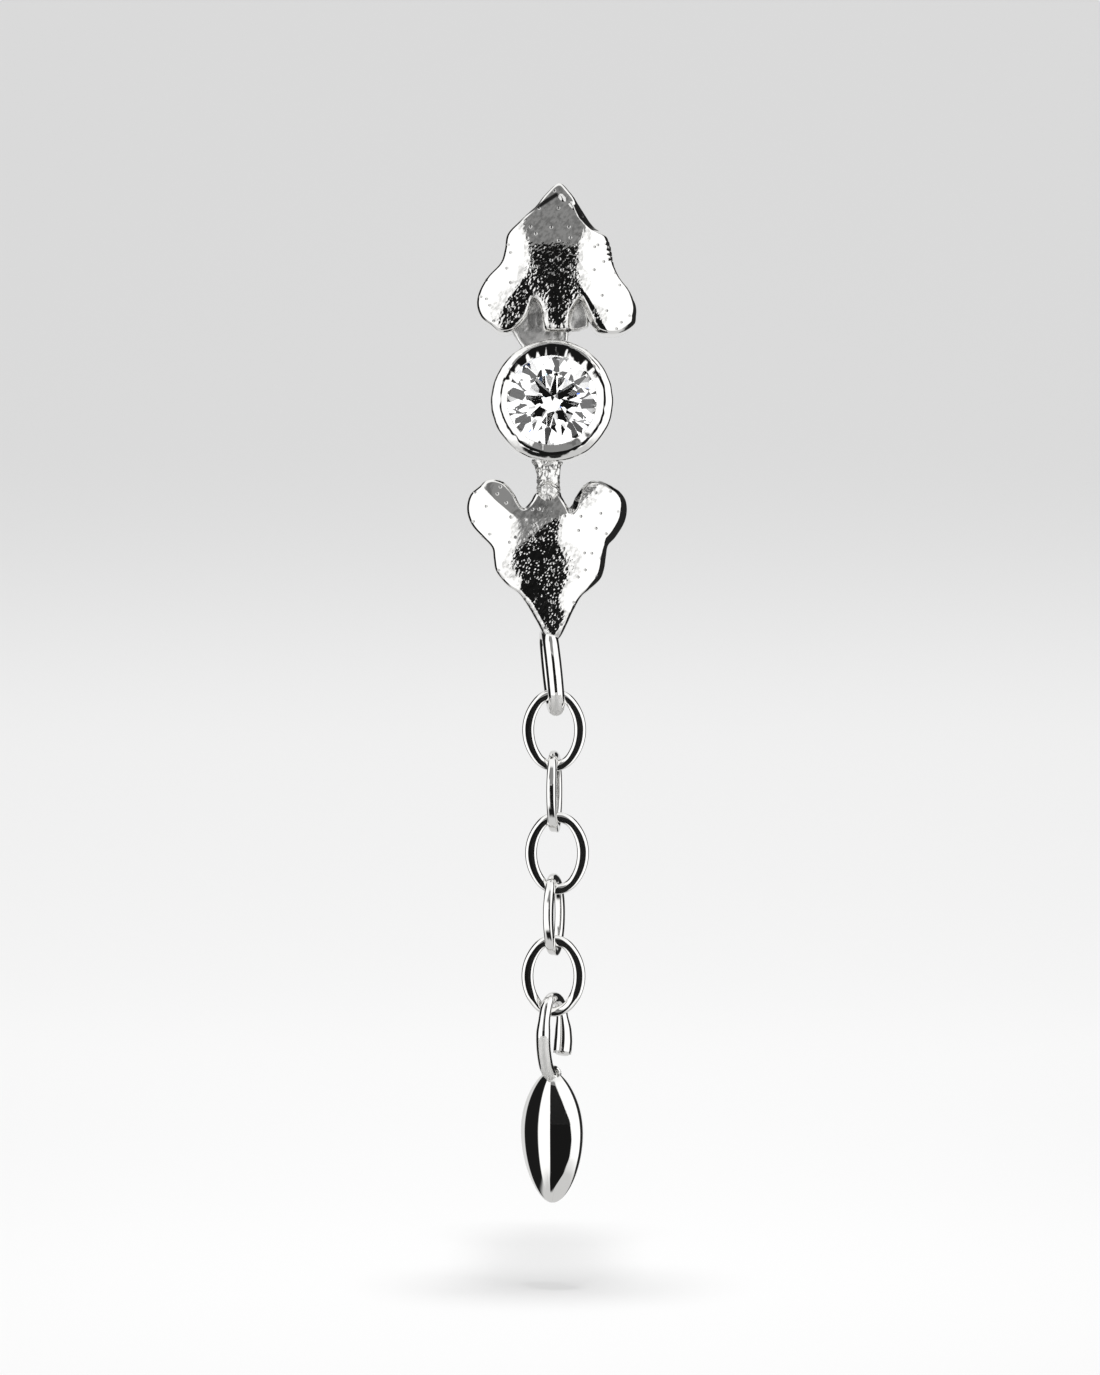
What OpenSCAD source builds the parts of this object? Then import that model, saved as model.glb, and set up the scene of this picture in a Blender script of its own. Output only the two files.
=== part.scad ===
// Leaf and stone stud earring with a hanging chain, a marquise drop and a flat back post.
// Millimetres. X to the wearer's left, Y into the ear, Z up.
// The origin is on the post's axis, where the back of the stone's cup rests on the ear.

/* [Stone] */
// Diameter of the round stone at its girdle
stone_d = 2.64; // [2.5:0.02:2.8]
// Diameter of the stone's table as a share of its girdle
table_share = 0.57; // [0.53:0.01:0.62]
// Slope of the main crown facets, in degrees
crown_angle = 34; // [32:0.5:36]
// Slope of the main pavilion facets, in degrees
pavilion_angle = 40.5; // [40:0.5:42]
// Height of the girdle's band
girdle_h = 0.06; // [0.04:0.01:0.1]

/* [Cup] */
// Outer diameter of the stone's cup
cup_d = 3.4; // [3.3:0.02:3.6]
// Diameter of the top of the cup's rim
rim_d = 2.86; // [2.76:0.02:2.96]
// Diameter of the opening that shows the stone
mouth_d = 2.48; // [2.4:0.02:2.56]
// Thickness of the cup's closed back
cup_back_t = 0.26; // [0.2:0.02:0.4]

/* [Leaves] */
// Width of a leaf over its side lobes
leaf_w = 4.48; // [4.3:0.02:4.7]
// Thickness of a leaf in its middle
leaf_t = 1.35; // [1.2:0.05:1.5]
// How far the side lobes fall back from the middle
leaf_bow = 0.42; // [0.3:0.02:0.6]
// Gap between the ear and the leaves' backs
leaf_lift = 0.2; // [0.1:0.05:0.4]

/* [Chain] */
// Outer height of a link
link_h = 2.29; // [2.2:0.01:2.5]
// Outer width of a link
link_w = 1.79; // [1.7:0.01:1.95]
// Diameter of the link's wire
link_wire = 0.27; // [0.24:0.01:0.3]
// Diameter of the wire of the leaf's ring
ring_wire = 0.46; // [0.4:0.01:0.5]
// Gap left where one ring hangs in another
hang_gap = 0.03; // [0.02:0.01:0.06]

/* [Drop] */
// Diameter of the wire of the drop's hook
hook_wire = 0.4; // [0.36:0.01:0.42]
// Width of the marquise drop
drop_w = 1.75; // [1.6:0.05:2]
// Height of the marquise drop
drop_h = 3.7; // [3.5:0.05:4]
// Thickness of the marquise drop
drop_t = 1.45; // [1.2:0.05:1.6]

/* [Flat back] */
// Diameter of the post
post_d = 1.2; // [0.9:0.1:1.2]
// Length of the post between the cup and the flat disc
post_l = 5; // [5:0.5:8]
// Diameter of the flat disc
disc_d = 2.5; // [2.5:0.1:3.2]
// Thickness of the flat disc
disc_t = 0.4; // [0.4:0.05:0.7]

/* [Hidden] */

X = 0;
Z = 1;
ROUND_FN = 48;
WIRE_FN = 24;
SILVER = "silver";
SEAT_GAP = 0.04; // between the stone and its cup, and the cup and the post

// A leaf's edge from its tip, clockwise round a side lobe and a notch, to the middle of its stem
LEAF_EDGE = [
    // across, up
    [0.00, 1.86],  // tip
    [0.35, 1.54],  // upper slope
    [0.83, 0.90],  // lower slope
    [1.32, 0.49],  // shoulder
    [1.50, -0.02], // waist
    [1.60, -0.42], // start of the flare
    [1.98, -0.89], // flare
    [2.24, -1.52], // widest point of the lobe
    [2.04, -2.20], // foot of the lobe, outside
    [1.47, -2.48], // foot of the lobe
    [1.05, -2.24], // foot of the lobe, inside
    [0.84, -1.78], // notch, on the lobe's side
    [0.64, -1.52], // notch
    [0.43, -1.66], // notch, on the stem's side
    [0.31, -2.05], // stem
    [0.25, -2.50], // end of the stem
    [0.00, -2.58]  // middle of the stem's end
];
LEAF_EDGE_W = 4.48;
LEAF_STEPS = 2;
LEAF_MIDDLE = [0, 0.35];
// The rim turns over in steps
LEAF_RIM = [
    // in from the edge, below the face
    [0, 0.17],
    [0.05, 0.05],
    [0.14, 0]
];
LEAF_FACE_STEPS = [0.35, 0.7]; // shares of the way from the rim to the middle
LEAF_TIP_FALL = 0.1;   // fall of the face towards the tip, per mm squared
LEAF_FOOT_FALL = 0.02; // fall of the face towards the lobes' feet, per mm squared

// Where the two leaves' middles lie from the stone's, and how far each leans, in degrees
UPPER_LEAF = [0.17, 4.27];
UPPER_LEAN = 1.6;
LOWER_LEAF = [-0.1, -4.58];
LOWER_LEAN = -1.8;

// Metal run in between the upper leaf's lobes and the cup
WEB_EDGE = [
    // across, up
    [-1.10, 1.98],
    [-0.92, 1.66],
    [-0.72, 1.42],
    [0.30, 1.42],
    [0.42, 1.70],
    [0.46, 2.00],
    [0.78, 2.04],
    [1.02, 2.12],
    [0.98, 2.50],
    [0.70, 2.90],
    [-0.60, 2.90],
    [-1.20, 2.25]
];
WEB_DEPTHS = [0.42, 1.02]; // of its back and front, in front of the ear
NECK_D = 0.66;
NECK_DEPTH = 0.78;
UPPER_NECK = [1.4, 2.3]; // heights of its ends
LOWER_NECK = [-2.4, -1.4];

// Half sizes of the middle line of the leaf's ring, its place and its turns
RING_HALF = [0.5, 1.05];
RING_DEPTH = 0.8;
RING_YAW = 9;
RING_LEAN = -6;
RING_DROP = 2.9; // of its middle below the lower leaf's

LINKS = [
    // sideways, turned about the vertical
    [0.06, 0],
    [0.07, 83],
    [0.14, 0],
    [0.06, 77],
    [0.04, 0]
];
LINK_OFF = 0;
LINK_YAW = 1;

// The drop's hook and the marquise under it
HOOK_HALF = [0.6, 1.06];
HOOK_OFF = 0.05;
HOOK_YAW = 28;
HOOK_OPEN = 0.46; // height of the hook's free end above its foot
HOOK_FOOT_TURN = 75; // of the bend that leads from the front strand to the drop
DROP_OVERLAP = 0.12; // of the drop's top and the hook's foot
DROP_ROWS = 14;
DROP_FULLNESS = [0.62, 0.5]; // of its upper and its lower half, blunter as this falls
DROP_WAIST = 0.92; // moves the widest place up as it falls below 1

// The drop's section, from its front round its right side to its back and its left side
DROP_SECTION = [
    // across, forward
    [0.25, 1.00],
    [0.58, 0.97],
    [0.62, 0.94],
    [0.75, 0.86],
    [0.90, 0.72],
    [0.97, 0.56],
    [1.00, 0.31],
    [0.97, 0.05],
    [0.80, -0.25],
    [0.40, -0.65],
    [0.00, -0.88],
    [-0.50, -1.00],
    [-0.85, -0.95],
    [-1.00, -0.71],
    [-0.94, -0.30],
    [-0.82, 0.20],
    [-0.50, 0.72],
    [-0.08, 0.97]
];

// Rows for both sides of a shape whose first and last rows lie on its middle line
function both_sides(rows) = concat(rows, [for (i = [len(rows) - 2 : -1 : 1]) [-rows[i][X], rows[i][Z]]]);
function around(p, i) = p[(i + len(p)) % len(p)];

// A smooth curve through a ring of points, t running from 0 to 1 between point k and the next
function on_curve(p, k, t) =
    let (a = around(p, k - 1), b = around(p, k), c = around(p, k + 1), d = around(p, k + 2))
    0.5 * (2 * b + (c - a) * t + (2 * a - 5 * b + 4 * c - d) * pow(t, 2) + (3 * b - a - 3 * c + d) * pow(t, 3));
function smooth_edge(p, steps) = [for (k = [0 : len(p) - 1], j = [0 : steps - 1]) on_curve(p, k, j / steps)];

leaf_curve = smooth_edge(both_sides(LEAF_EDGE), LEAF_STEPS) * leaf_w / LEAF_EDGE_W;
leaf_side_fall = leaf_bow / pow(leaf_w / 2, 2);
rim_in = LEAF_RIM[len(LEAF_RIM) - 1][0];

// How far a leaf's face stands in front of its back at a point
function leaf_depth(p) =
    leaf_t - leaf_side_fall * pow(p[X], 2) - (p[Z] > 0 ? LEAF_TIP_FALL : LEAF_FOOT_FALL) * pow(p[Z], 2);
function leaf_point(p, depth) = [p[X], -leaf_lift - depth, p[Z]];

// Point i of the edge, moved square into the leaf
function leaf_inset(i, distance) =
    let (along = around(leaf_curve, i + 1) - around(leaf_curve, i - 1))
    leaf_curve[i] + [along[Z], -along[X]] / norm(along) * distance;

function leaf_rings() = concat(
    [[for (p = leaf_curve) leaf_point(p, 0)]],
    [for (rim = LEAF_RIM) [for (i = [0 : len(leaf_curve) - 1])
        let (p = leaf_inset(i, rim[0])) leaf_point(p, leaf_depth(p) - rim[1])]],
    [for (share = LEAF_FACE_STEPS) [for (i = [0 : len(leaf_curve) - 1])
        let (p = leaf_inset(i, rim_in) * (1 - share) + LEAF_MIDDLE * share) leaf_point(p, leaf_depth(p))]]
);

// A closed solid through rings of points, with one more point at either end
module ringed_solid(rings, first, last) {
    n = len(rings[0]);
    count = len(rings) * n;
    polyhedron(
        points = concat([for (ring = rings, p = ring) p], [first, last]),
        faces = concat(
            [for (i = [0 : n - 1]) [(i + 1) % n, i, count]],
            [for (r = [0 : len(rings) - 2], i = [0 : n - 1])
                [r * n + i, r * n + (i + 1) % n, (r + 1) * n + (i + 1) % n]],
            [for (r = [0 : len(rings) - 2], i = [0 : n - 1])
                [r * n + i, (r + 1) * n + (i + 1) % n, (r + 1) * n + i]],
            [for (i = [0 : n - 1]) [count - n + i, count - n + (i + 1) % n, count + 1]]
        )
    );
}

module leaf() {
    ringed_solid(leaf_rings(), leaf_point(LEAF_MIDDLE, 0), leaf_point(LEAF_MIDDLE, leaf_depth(LEAF_MIDDLE)));
}

// Heights in the cup, from its back
stone_r = stone_d / 2;
culet_y = cup_back_t + 2 * SEAT_GAP;
girdle_y = culet_y + stone_r * tan(pavilion_angle);
crown_y = girdle_y + girdle_h;
table_y = crown_y + stone_r * (1 - table_share) * tan(crown_angle);
mouth_y = crown_y + (stone_d - mouth_d) / 2 * tan(crown_angle) + SEAT_GAP;
rim_y = mouth_y + 0.12;
seat_r = stone_r + SEAT_GAP;

module cup() {
    cup_r = cup_d / 2;
    rim_r = rim_d / 2;
    section = [
        [0, 0],
        [cup_r - 0.1, 0],
        [cup_r, 0.1],
        [cup_r, rim_y - 0.38],
        [cup_r - 0.05, rim_y - 0.26],
        [rim_r + 0.04, rim_y - 0.06],
        [rim_r - 0.02, rim_y],
        [mouth_d / 2 + 0.06, rim_y],
        [mouth_d / 2, mouth_y],
        [seat_r, crown_y],
        [seat_r, girdle_y - SEAT_GAP],
        [0.12, cup_back_t],
        [0, cup_back_t]
    ];
    rotate([90, 0, 0])
        rotate_extrude($fn = ROUND_FN)
            polygon(section);
}

// Part of a ring in the XY plane, turning left from +X
module bent_wire(bend_r, wire, angle = 180) {
    rotate_extrude(angle = angle, $fn = ROUND_FN)
        translate([bend_r, 0]) circle(d = wire, $fn = WIRE_FN);
}

module straight_wire(wire, length) {
    rotate([-90, 0, 0]) cylinder(d = wire, h = length, $fn = WIRE_FN);
}

// A round wire bent to a long ring in the XZ plane, given the half sizes of its middle line
module oval_ring(half, wire) {
    straight = half[Z] - half[X];
    rotate([90, 0, 0])
        for (turn = [0, 180]) rotate(turn) {
            translate([0, straight]) bent_wire(half[X], wire);
            translate([half[X], -straight]) straight_wire(wire, 2 * straight);
        }
}

link_half = [link_w - link_wire, link_h - link_wire] / 2;
link_pitch = link_h - 2 * link_wire - hang_gap;
ring_z = LOWER_LEAF[Z] - RING_DROP;
// How far a link's wire lies from a wire that it hangs on, from middle to middle
function wire_step(wire) = (wire + link_wire) / 2 + hang_gap;
first_link_z = ring_z - RING_HALF[Z] * cos(RING_LEAN) + wire_step(ring_wire) - link_half[Z];
last_link_z = first_link_z - (len(LINKS) - 1) * link_pitch;
pivot_z = last_link_z - link_half[Z];
hook_z = pivot_z + wire_step(hook_wire) - HOOK_HALF[Z];
drop_top_z = hook_z - HOOK_HALF[Z] + DROP_OVERLAP;

module neck(heights, x) {
    translate([x, -NECK_DEPTH, heights[0]])
        cylinder(d = NECK_D, h = heights[1] - heights[0], $fn = WIRE_FN);
}

module web() {
    translate([0, -WEB_DEPTHS[0], 0])
        rotate([90, 0, 0])
            linear_extrude(WEB_DEPTHS[1] - WEB_DEPTHS[0])
                polygon(WEB_EDGE);
}

module leaf_front() {
    color(SILVER) {
        cup();
        translate([UPPER_LEAF[X], 0, UPPER_LEAF[Z]]) rotate([0, UPPER_LEAN, 0]) leaf();
        translate([LOWER_LEAF[X], 0, LOWER_LEAF[Z]]) rotate([0, LOWER_LEAN, 0]) mirror([0, 0, 1]) leaf();
        neck(UPPER_NECK, UPPER_LEAF[X]);
        neck(LOWER_NECK, LOWER_LEAF[X]);
        web();
        translate([0, -RING_DEPTH, ring_z])
            rotate([0, RING_LEAN, 0])
                rotate(90 + RING_YAW)
                    oval_ring(RING_HALF, ring_wire);
    }
}

// A brilliant with 8 table, star and main facets in each round, and 16 girdle facets
module round_stone() {
    star_share = 0.5;
    lower_share = 0.25;
    table_r = stone_r * table_share;
    star_r = table_r + (stone_r - table_r) * star_share;
    lower_r = stone_r * lower_share;
    half_step = 180 / 8;
    star_y = table_y - (star_r * cos(half_step) - table_r) * tan(crown_angle);
    lower_y = culet_y + lower_r * cos(half_step) * tan(pavilion_angle);
    function corner(r, step, y) = [r * sin(step * half_step), -y, r * cos(step * half_step)];
    star = 8;
    girdle = 16;
    under = 32;
    lower = 48;
    culet = 56;
    color("white") polyhedron(
        points = concat(
            [for (k = [0 : 7]) corner(table_r, 2 * k, table_y)],
            [for (k = [0 : 7]) corner(star_r, 2 * k + 1, star_y)],
            [for (k = [0 : 15]) corner(stone_r, k, crown_y)],
            [for (k = [0 : 15]) corner(stone_r, k, girdle_y)],
            [for (k = [0 : 7]) corner(lower_r, 2 * k + 1, lower_y)],
            [[0, -culet_y, 0]]
        ),
        faces = concat(
            [[for (k = [0 : 7]) k]],
            [for (k = [0 : 7]) [k, star + k, (k + 1) % 8]],
            [for (k = [0 : 7]) [k, star + (k + 7) % 8, girdle + 2 * k]],
            [for (k = [0 : 7]) [k, girdle + 2 * k, star + k]],
            [for (k = [0 : 7]) [star + k, girdle + 2 * k, girdle + 2 * k + 1]],
            [for (k = [0 : 7]) [star + k, girdle + 2 * k + 1, girdle + (2 * k + 2) % 16]],
            [for (k = [0 : 15]) [girdle + k, under + k, under + (k + 1) % 16, girdle + (k + 1) % 16]],
            [for (k = [0 : 7]) [lower + k, under + 2 * k + 1, under + 2 * k]],
            [for (k = [0 : 7]) [lower + k, under + (2 * k + 2) % 16, under + 2 * k + 1]],
            [for (k = [0 : 7]) [culet, lower + k, under + 2 * k]],
            [for (k = [0 : 7]) [culet, under + 2 * k, lower + (k + 7) % 8]]
        )
    );
}

module flat_back_post() {
    color(SILVER)
        rotate([-90, 0, 0]) {
            translate([0, 0, SEAT_GAP]) cylinder(d = post_d, h = post_l, $fn = ROUND_FN);
            translate([0, 0, SEAT_GAP + post_l]) cylinder(d = disc_d, h = disc_t, $fn = ROUND_FN);
        }
}

module chain_link(number) {
    row = LINKS[number - 1];
    color(SILVER)
        translate([row[LINK_OFF], -RING_DEPTH, first_link_z - (number - 1) * link_pitch])
            rotate(row[LINK_YAW])
                oval_ring(link_half, link_wire);
}

// Share of the drop's full section at a share of the way down it
function drop_share(down) = pow(sin(180 * pow(down, DROP_WAIST)), DROP_FULLNESS[down < 0.5 ? 0 : 1]);

module marquise() {
    ringed_solid(
        [for (k = [1 : DROP_ROWS - 1]) let (down = (1 - cos(k * 180 / DROP_ROWS)) / 2, share = drop_share(down))
            [for (p = DROP_SECTION) [p[X] * drop_w / 2 * share, -p[Z] * drop_t / 2 * share, -down * drop_h]]],
        [0, 0, 0],
        [0, 0, -drop_h]
    );
}

// An open hook: a bend over the link, a free strand behind, and a strand in front that turns in under it
module hook() {
    straight = HOOK_HALF[Z] - HOOK_HALF[X];
    free_end = HOOK_OPEN - HOOK_HALF[Z];
    rotate([90, 0, 0]) {
        translate([0, straight]) bent_wire(HOOK_HALF[X], hook_wire);
        translate([HOOK_HALF[X], free_end]) straight_wire(hook_wire, straight - free_end);
        translate([-HOOK_HALF[X], -straight]) straight_wire(hook_wire, 2 * straight);
        translate([0, -straight]) rotate(180) bent_wire(HOOK_HALF[X], hook_wire, HOOK_FOOT_TURN);
    }
}

module marquise_drop() {
    color(SILVER) translate([0, -RING_DEPTH, 0]) {
        translate([HOOK_OFF, 0, hook_z]) rotate(90 - HOOK_YAW) hook();
        translate([0, 0, drop_top_z]) marquise();
    }
}

leaf_front();
round_stone();
flat_back_post();
chain_link(1);  // chain_link_1
chain_link(2);  // chain_link_2
chain_link(3);  // chain_link_3
chain_link(4);  // chain_link_4
chain_link(5);  // chain_link_5
marquise_drop();
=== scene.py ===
"""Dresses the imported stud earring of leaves, stone, chain and drop in silver, in a pale studio."""

import math

import bmesh
import bpy
import numpy as np
from bpy.props import FloatProperty, FloatVectorProperty, IntProperty, PointerProperty
from mathutils import Matrix, Vector, noise


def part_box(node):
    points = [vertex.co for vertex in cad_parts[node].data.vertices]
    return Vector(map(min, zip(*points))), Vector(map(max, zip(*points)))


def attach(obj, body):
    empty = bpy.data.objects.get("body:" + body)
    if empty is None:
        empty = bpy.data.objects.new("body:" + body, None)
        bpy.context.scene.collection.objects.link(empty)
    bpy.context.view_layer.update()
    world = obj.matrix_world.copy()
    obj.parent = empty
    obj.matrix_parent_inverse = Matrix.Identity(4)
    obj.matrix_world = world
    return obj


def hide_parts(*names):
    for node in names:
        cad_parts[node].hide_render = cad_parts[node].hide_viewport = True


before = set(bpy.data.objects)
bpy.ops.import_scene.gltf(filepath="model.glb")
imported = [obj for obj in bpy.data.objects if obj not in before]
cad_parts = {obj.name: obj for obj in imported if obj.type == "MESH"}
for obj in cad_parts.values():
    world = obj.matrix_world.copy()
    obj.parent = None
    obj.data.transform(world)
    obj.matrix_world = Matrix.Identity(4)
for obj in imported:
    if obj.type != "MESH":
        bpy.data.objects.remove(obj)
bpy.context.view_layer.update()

bl_info = {
    "name": "Leaf Stud Earring",
    "version": (1, 0, 0),
    "blender": (4, 5, 0),
    "location": "View3D > Sidebar > Earring",
    "description": "Models the silver, the stone and the studio of a leaf stud earring around its packed solids",
    "category": "Add Mesh",
}

# Meshes are worked in millimetres, and brought to metres when they are finished
MM = 0.001

# The photograph, in pixels, and the point and scale at which it shows the ornament's front
PHOTO_W = 1100
PHOTO_H = 1375
PHOTO_ORIGIN = (552, 401)
PHOTO_PX_PER_MM = 36.0
ORNAMENT_FRONT = 1.4  # how far in front of the ear that scale holds, in millimetres


def box_mm(node):
    """The lowest and highest corners of a CAD node in millimetres."""
    low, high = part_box(node)
    return low / MM, high / MM


STUD_BODY = "stud"
DROP_BODY = "drop"
STONE_LOW, STONE_HIGH = box_mm("round_stone")
POST_LOW, POST_HIGH = box_mm("flat_back_post")
DROP_LOW = box_mm("marquise_drop")[0]
LINKS = [f"chain_link_{i}" for i in range(1, 6)]
LINK_YAWS = (0, 83, 0, 77, 0)
END_CROWN = 0.12  # how much thinner a link's wire is at its rims than in its middle, at the link's ends
FRONT_DROP = 0.045  # how far the flat front of a link's wire lies below its middle at the link's ends
FRONT_FROM = 0.3  # how far forward in the wire that starts, as a share of its half thickness
FRONT_OVER = 0.5  # and over how much more it is reached
SIDE_FADE = 1.5  # how fast a link's wire narrows from its sides towards its ends

# The leaf's ring: half sizes of its middle line, its place and its turns
RING_HALF = (0.5, 1.05)
RING_PLACE = (0, -0.8, -7.48)
RING_LEAN = math.radians(-6)
RING_YAW = math.radians(6.5)
RING_END_SHARE = 0.85  # the radius of its ends as a share of its half width

# The drop's hook: half sizes of its middle line, its place across, its turn, and how far its foot bends
HOOK_HALF = (0.6, 1.06)
HOOK_OFF = 0.037
HOOK_YAW = math.radians(28)
HOOK_END_SHARE = 0.8  # the radius of its ends as a share of its half width
HOOK_OPEN = 0.46  # how far above the hook's foot its free end stops
HOOK_FOOT_TURN = math.radians(75)
# The free end is thicker from this height down, in full after this much more, and rounded this far at its tip
HOOK_SWELL_FROM = 0.5
HOOK_SWELL_OVER = 0.7
HOOK_END_ROUNDING = 0.15
# The hook's wire is a little thinner in its bend, so that it clears the link as it swings
HOOK_SLIM = 0.18
HOOK_SLIM_FROM = 0.1
HOOK_SLIM_OVER = 0.45
# The link that carries the hook: where its lower end starts to be rounder and is so in full, as shares of its
# half height, and how far a square wire's corners and its rounded ones reach, as shares of its half thickness
BEARING_FROM = 0.45
BEARING_FULL = 0.70
SQUARE_REACH = 1.19
BEARING_REACH = 1.0
DROP_OVERLAP = 0.09  # how far the hook's lower end runs into the marquise
DROP_DEPTH = -0.8  # where the marquise hangs in front of the ear

# The stone's facets: how far from the table to the girdle the stars reach, and how near its axis the lower ones
STAR_SHARE = 0.5
LOWER_SHARE = 0.22

# Where a wire is worn: only where it faces the front and not the side, and lower down towards its sides
WEAR_FACING = -0.12
WEAR_ASIDE = 0.72
WEAR_NOTCH = 0.9
WEAR_DIP = 0.18
RING_WEAR = 0.62  # how far below the ring's middle its worn part starts
HOOK_WEAR = 0.10  # how far above the hook's middle its worn part starts

# The flat back: its post's radius, its disc's thickness and how far its corners are rounded
POST_R = 0.6
DISC_THICKNESS = 0.4
BACK_ROUNDING = 0.07
BACK_STEPS = 96

# The marquise's section, from its front round its right side to its back and its left side: across, forward
DROP_SECTION = [
    (0.06, 1.00), (0.58, 0.97), (0.62, 0.94), (0.75, 0.86), (0.90, 0.72), (0.97, 0.56), (1.00, 0.31), (0.97, 0.05),
    (0.80, -0.25), (0.40, -0.65), (0.00, -0.88), (-0.50, -1.00), (-0.85, -0.95), (-1.00, -0.71), (-0.94, -0.30),
    (-0.82, 0.20), (-0.45, 0.78), (-0.13, 0.98),
]
CREASE_ACROSS = 0.62  # where the crease lies in the section
DROP_ROWS = 72
# The marquise's outline: how high its widest place lies, and how full it is above and below that
DROP_SAG = 0.92
DROP_TOP_SWELL = 0.62
DROP_FOOT_SWELL = 0.5
# How far down the marquise, and how far across the crease right of its front lies there
DROP_CREASE = [(0.0, 0.18), (0.1, 0.24), (0.22, 0.42), (0.36, 0.60), (0.5, 0.64), (0.64, 0.61), (0.76, 0.46),
               (0.88, 0.15), (1.0, 0.0)]

# The upper leaf's edge, clockwise from its tip: across and up from the stone's middle, in millimetres
UPPER_EDGE = [
    (0.19, 6.12), (0.51, 5.84), (0.80, 5.42), (1.12, 4.97), (1.34, 4.78), (1.50, 4.65), (1.62, 4.39),
    (1.68, 4.11), (1.72, 3.87), (1.89, 3.50), (2.16, 3.15), (2.345, 2.73), (2.356, 2.42), (2.29, 2.18),
    (1.92, 1.93), (1.53, 1.89), (1.22, 1.99), (1.04, 2.25), (0.90, 2.60), (0.80, 2.83), (0.69, 2.68),
    (0.58, 2.44), (0.54, 2.19), (0.52, 1.96), (0.19, 1.94), (-0.18, 1.96), (-0.25, 2.17), (-0.29, 2.44),
    (-0.36, 2.69), (-0.53, 2.86), (-0.62, 2.60), (-0.72, 2.37), (-0.90, 2.15), (-1.13, 1.97), (-1.44, 1.94),
    (-1.70, 2.14), (-1.97, 2.36), (-2.10, 2.72), (-2.03, 3.11), (-1.79, 3.51), (-1.44, 3.87), (-1.32, 4.24),
    (-1.24, 4.67), (-0.89, 5.04), (-0.48, 5.42), (-0.19, 5.79),
]
UPPER_MIDDLE = (0.17, 4.62)

# The lower leaf's edge, clockwise from the middle of its stem
LOWER_EDGE = [
    (-0.11, -2.47), (0.21, -2.50), (0.27, -2.63), (0.37, -2.80), (0.47, -2.94), (0.57, -2.83), (0.64, -2.67),
    (0.77, -2.45), (0.93, -2.27), (1.17, -2.17), (1.49, -2.21), (1.72, -2.35), (1.92, -2.49), (2.07, -2.72),
    (2.10, -3.03), (2.02, -3.36), (1.78, -3.75), (1.57, -3.99), (1.51, -4.31), (1.46, -4.64), (1.35, -4.93),
    (1.06, -5.22), (0.81, -5.44), (0.60, -5.80), (0.42, -6.19), (0.23, -6.55), (0.02, -6.72), (-0.20, -6.55),
    (-0.42, -6.14), (-0.69, -5.67), (-0.92, -5.35), (-1.21, -5.14), (-1.44, -4.90), (-1.58, -4.67),
    (-1.63, -4.35), (-1.68, -4.06), (-1.94, -3.77), (-2.21, -3.47), (-2.35, -3.17), (-2.38, -2.86),
    (-2.28, -2.54), (-2.03, -2.32), (-1.87, -2.17), (-1.64, -2.12), (-1.39, -2.19), (-1.21, -2.35),
    (-1.04, -2.57), (-0.93, -2.80), (-0.79, -2.95), (-0.60, -2.78), (-0.44, -2.53),
]
LOWER_MIDDLE = (-0.05, -4.75)

# The metal run in behind the upper leaf's foot: across and up from the stone's middle, in millimetres
WEB_EDGE = [(-1.10, 1.98), (-0.92, 1.66), (-0.72, 1.42), (0.30, 1.42), (0.42, 1.70), (0.46, 2.00), (0.78, 2.04),
            (1.02, 2.12), (0.98, 2.50), (0.82, 2.95), (-0.55, 2.98), (-0.86, 2.60), (-1.06, 2.25)]

WEB_DEPTHS = (-0.45, -0.75, -1.0)
# The metal run in below the cup: cones by lower and upper radius, length and place, and a drop at their foot
RUN_CONES = ((0.30, 0.44, 0.34, (-0.12, -0.85, -1.77)), (0.33, 0.31, 1.2, (-0.1, -0.85, -2.1)))
RUN_DROP_R = 0.30
RUN_DROP_PLACE = (-0.10, -1.17, -2.52)

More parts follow.
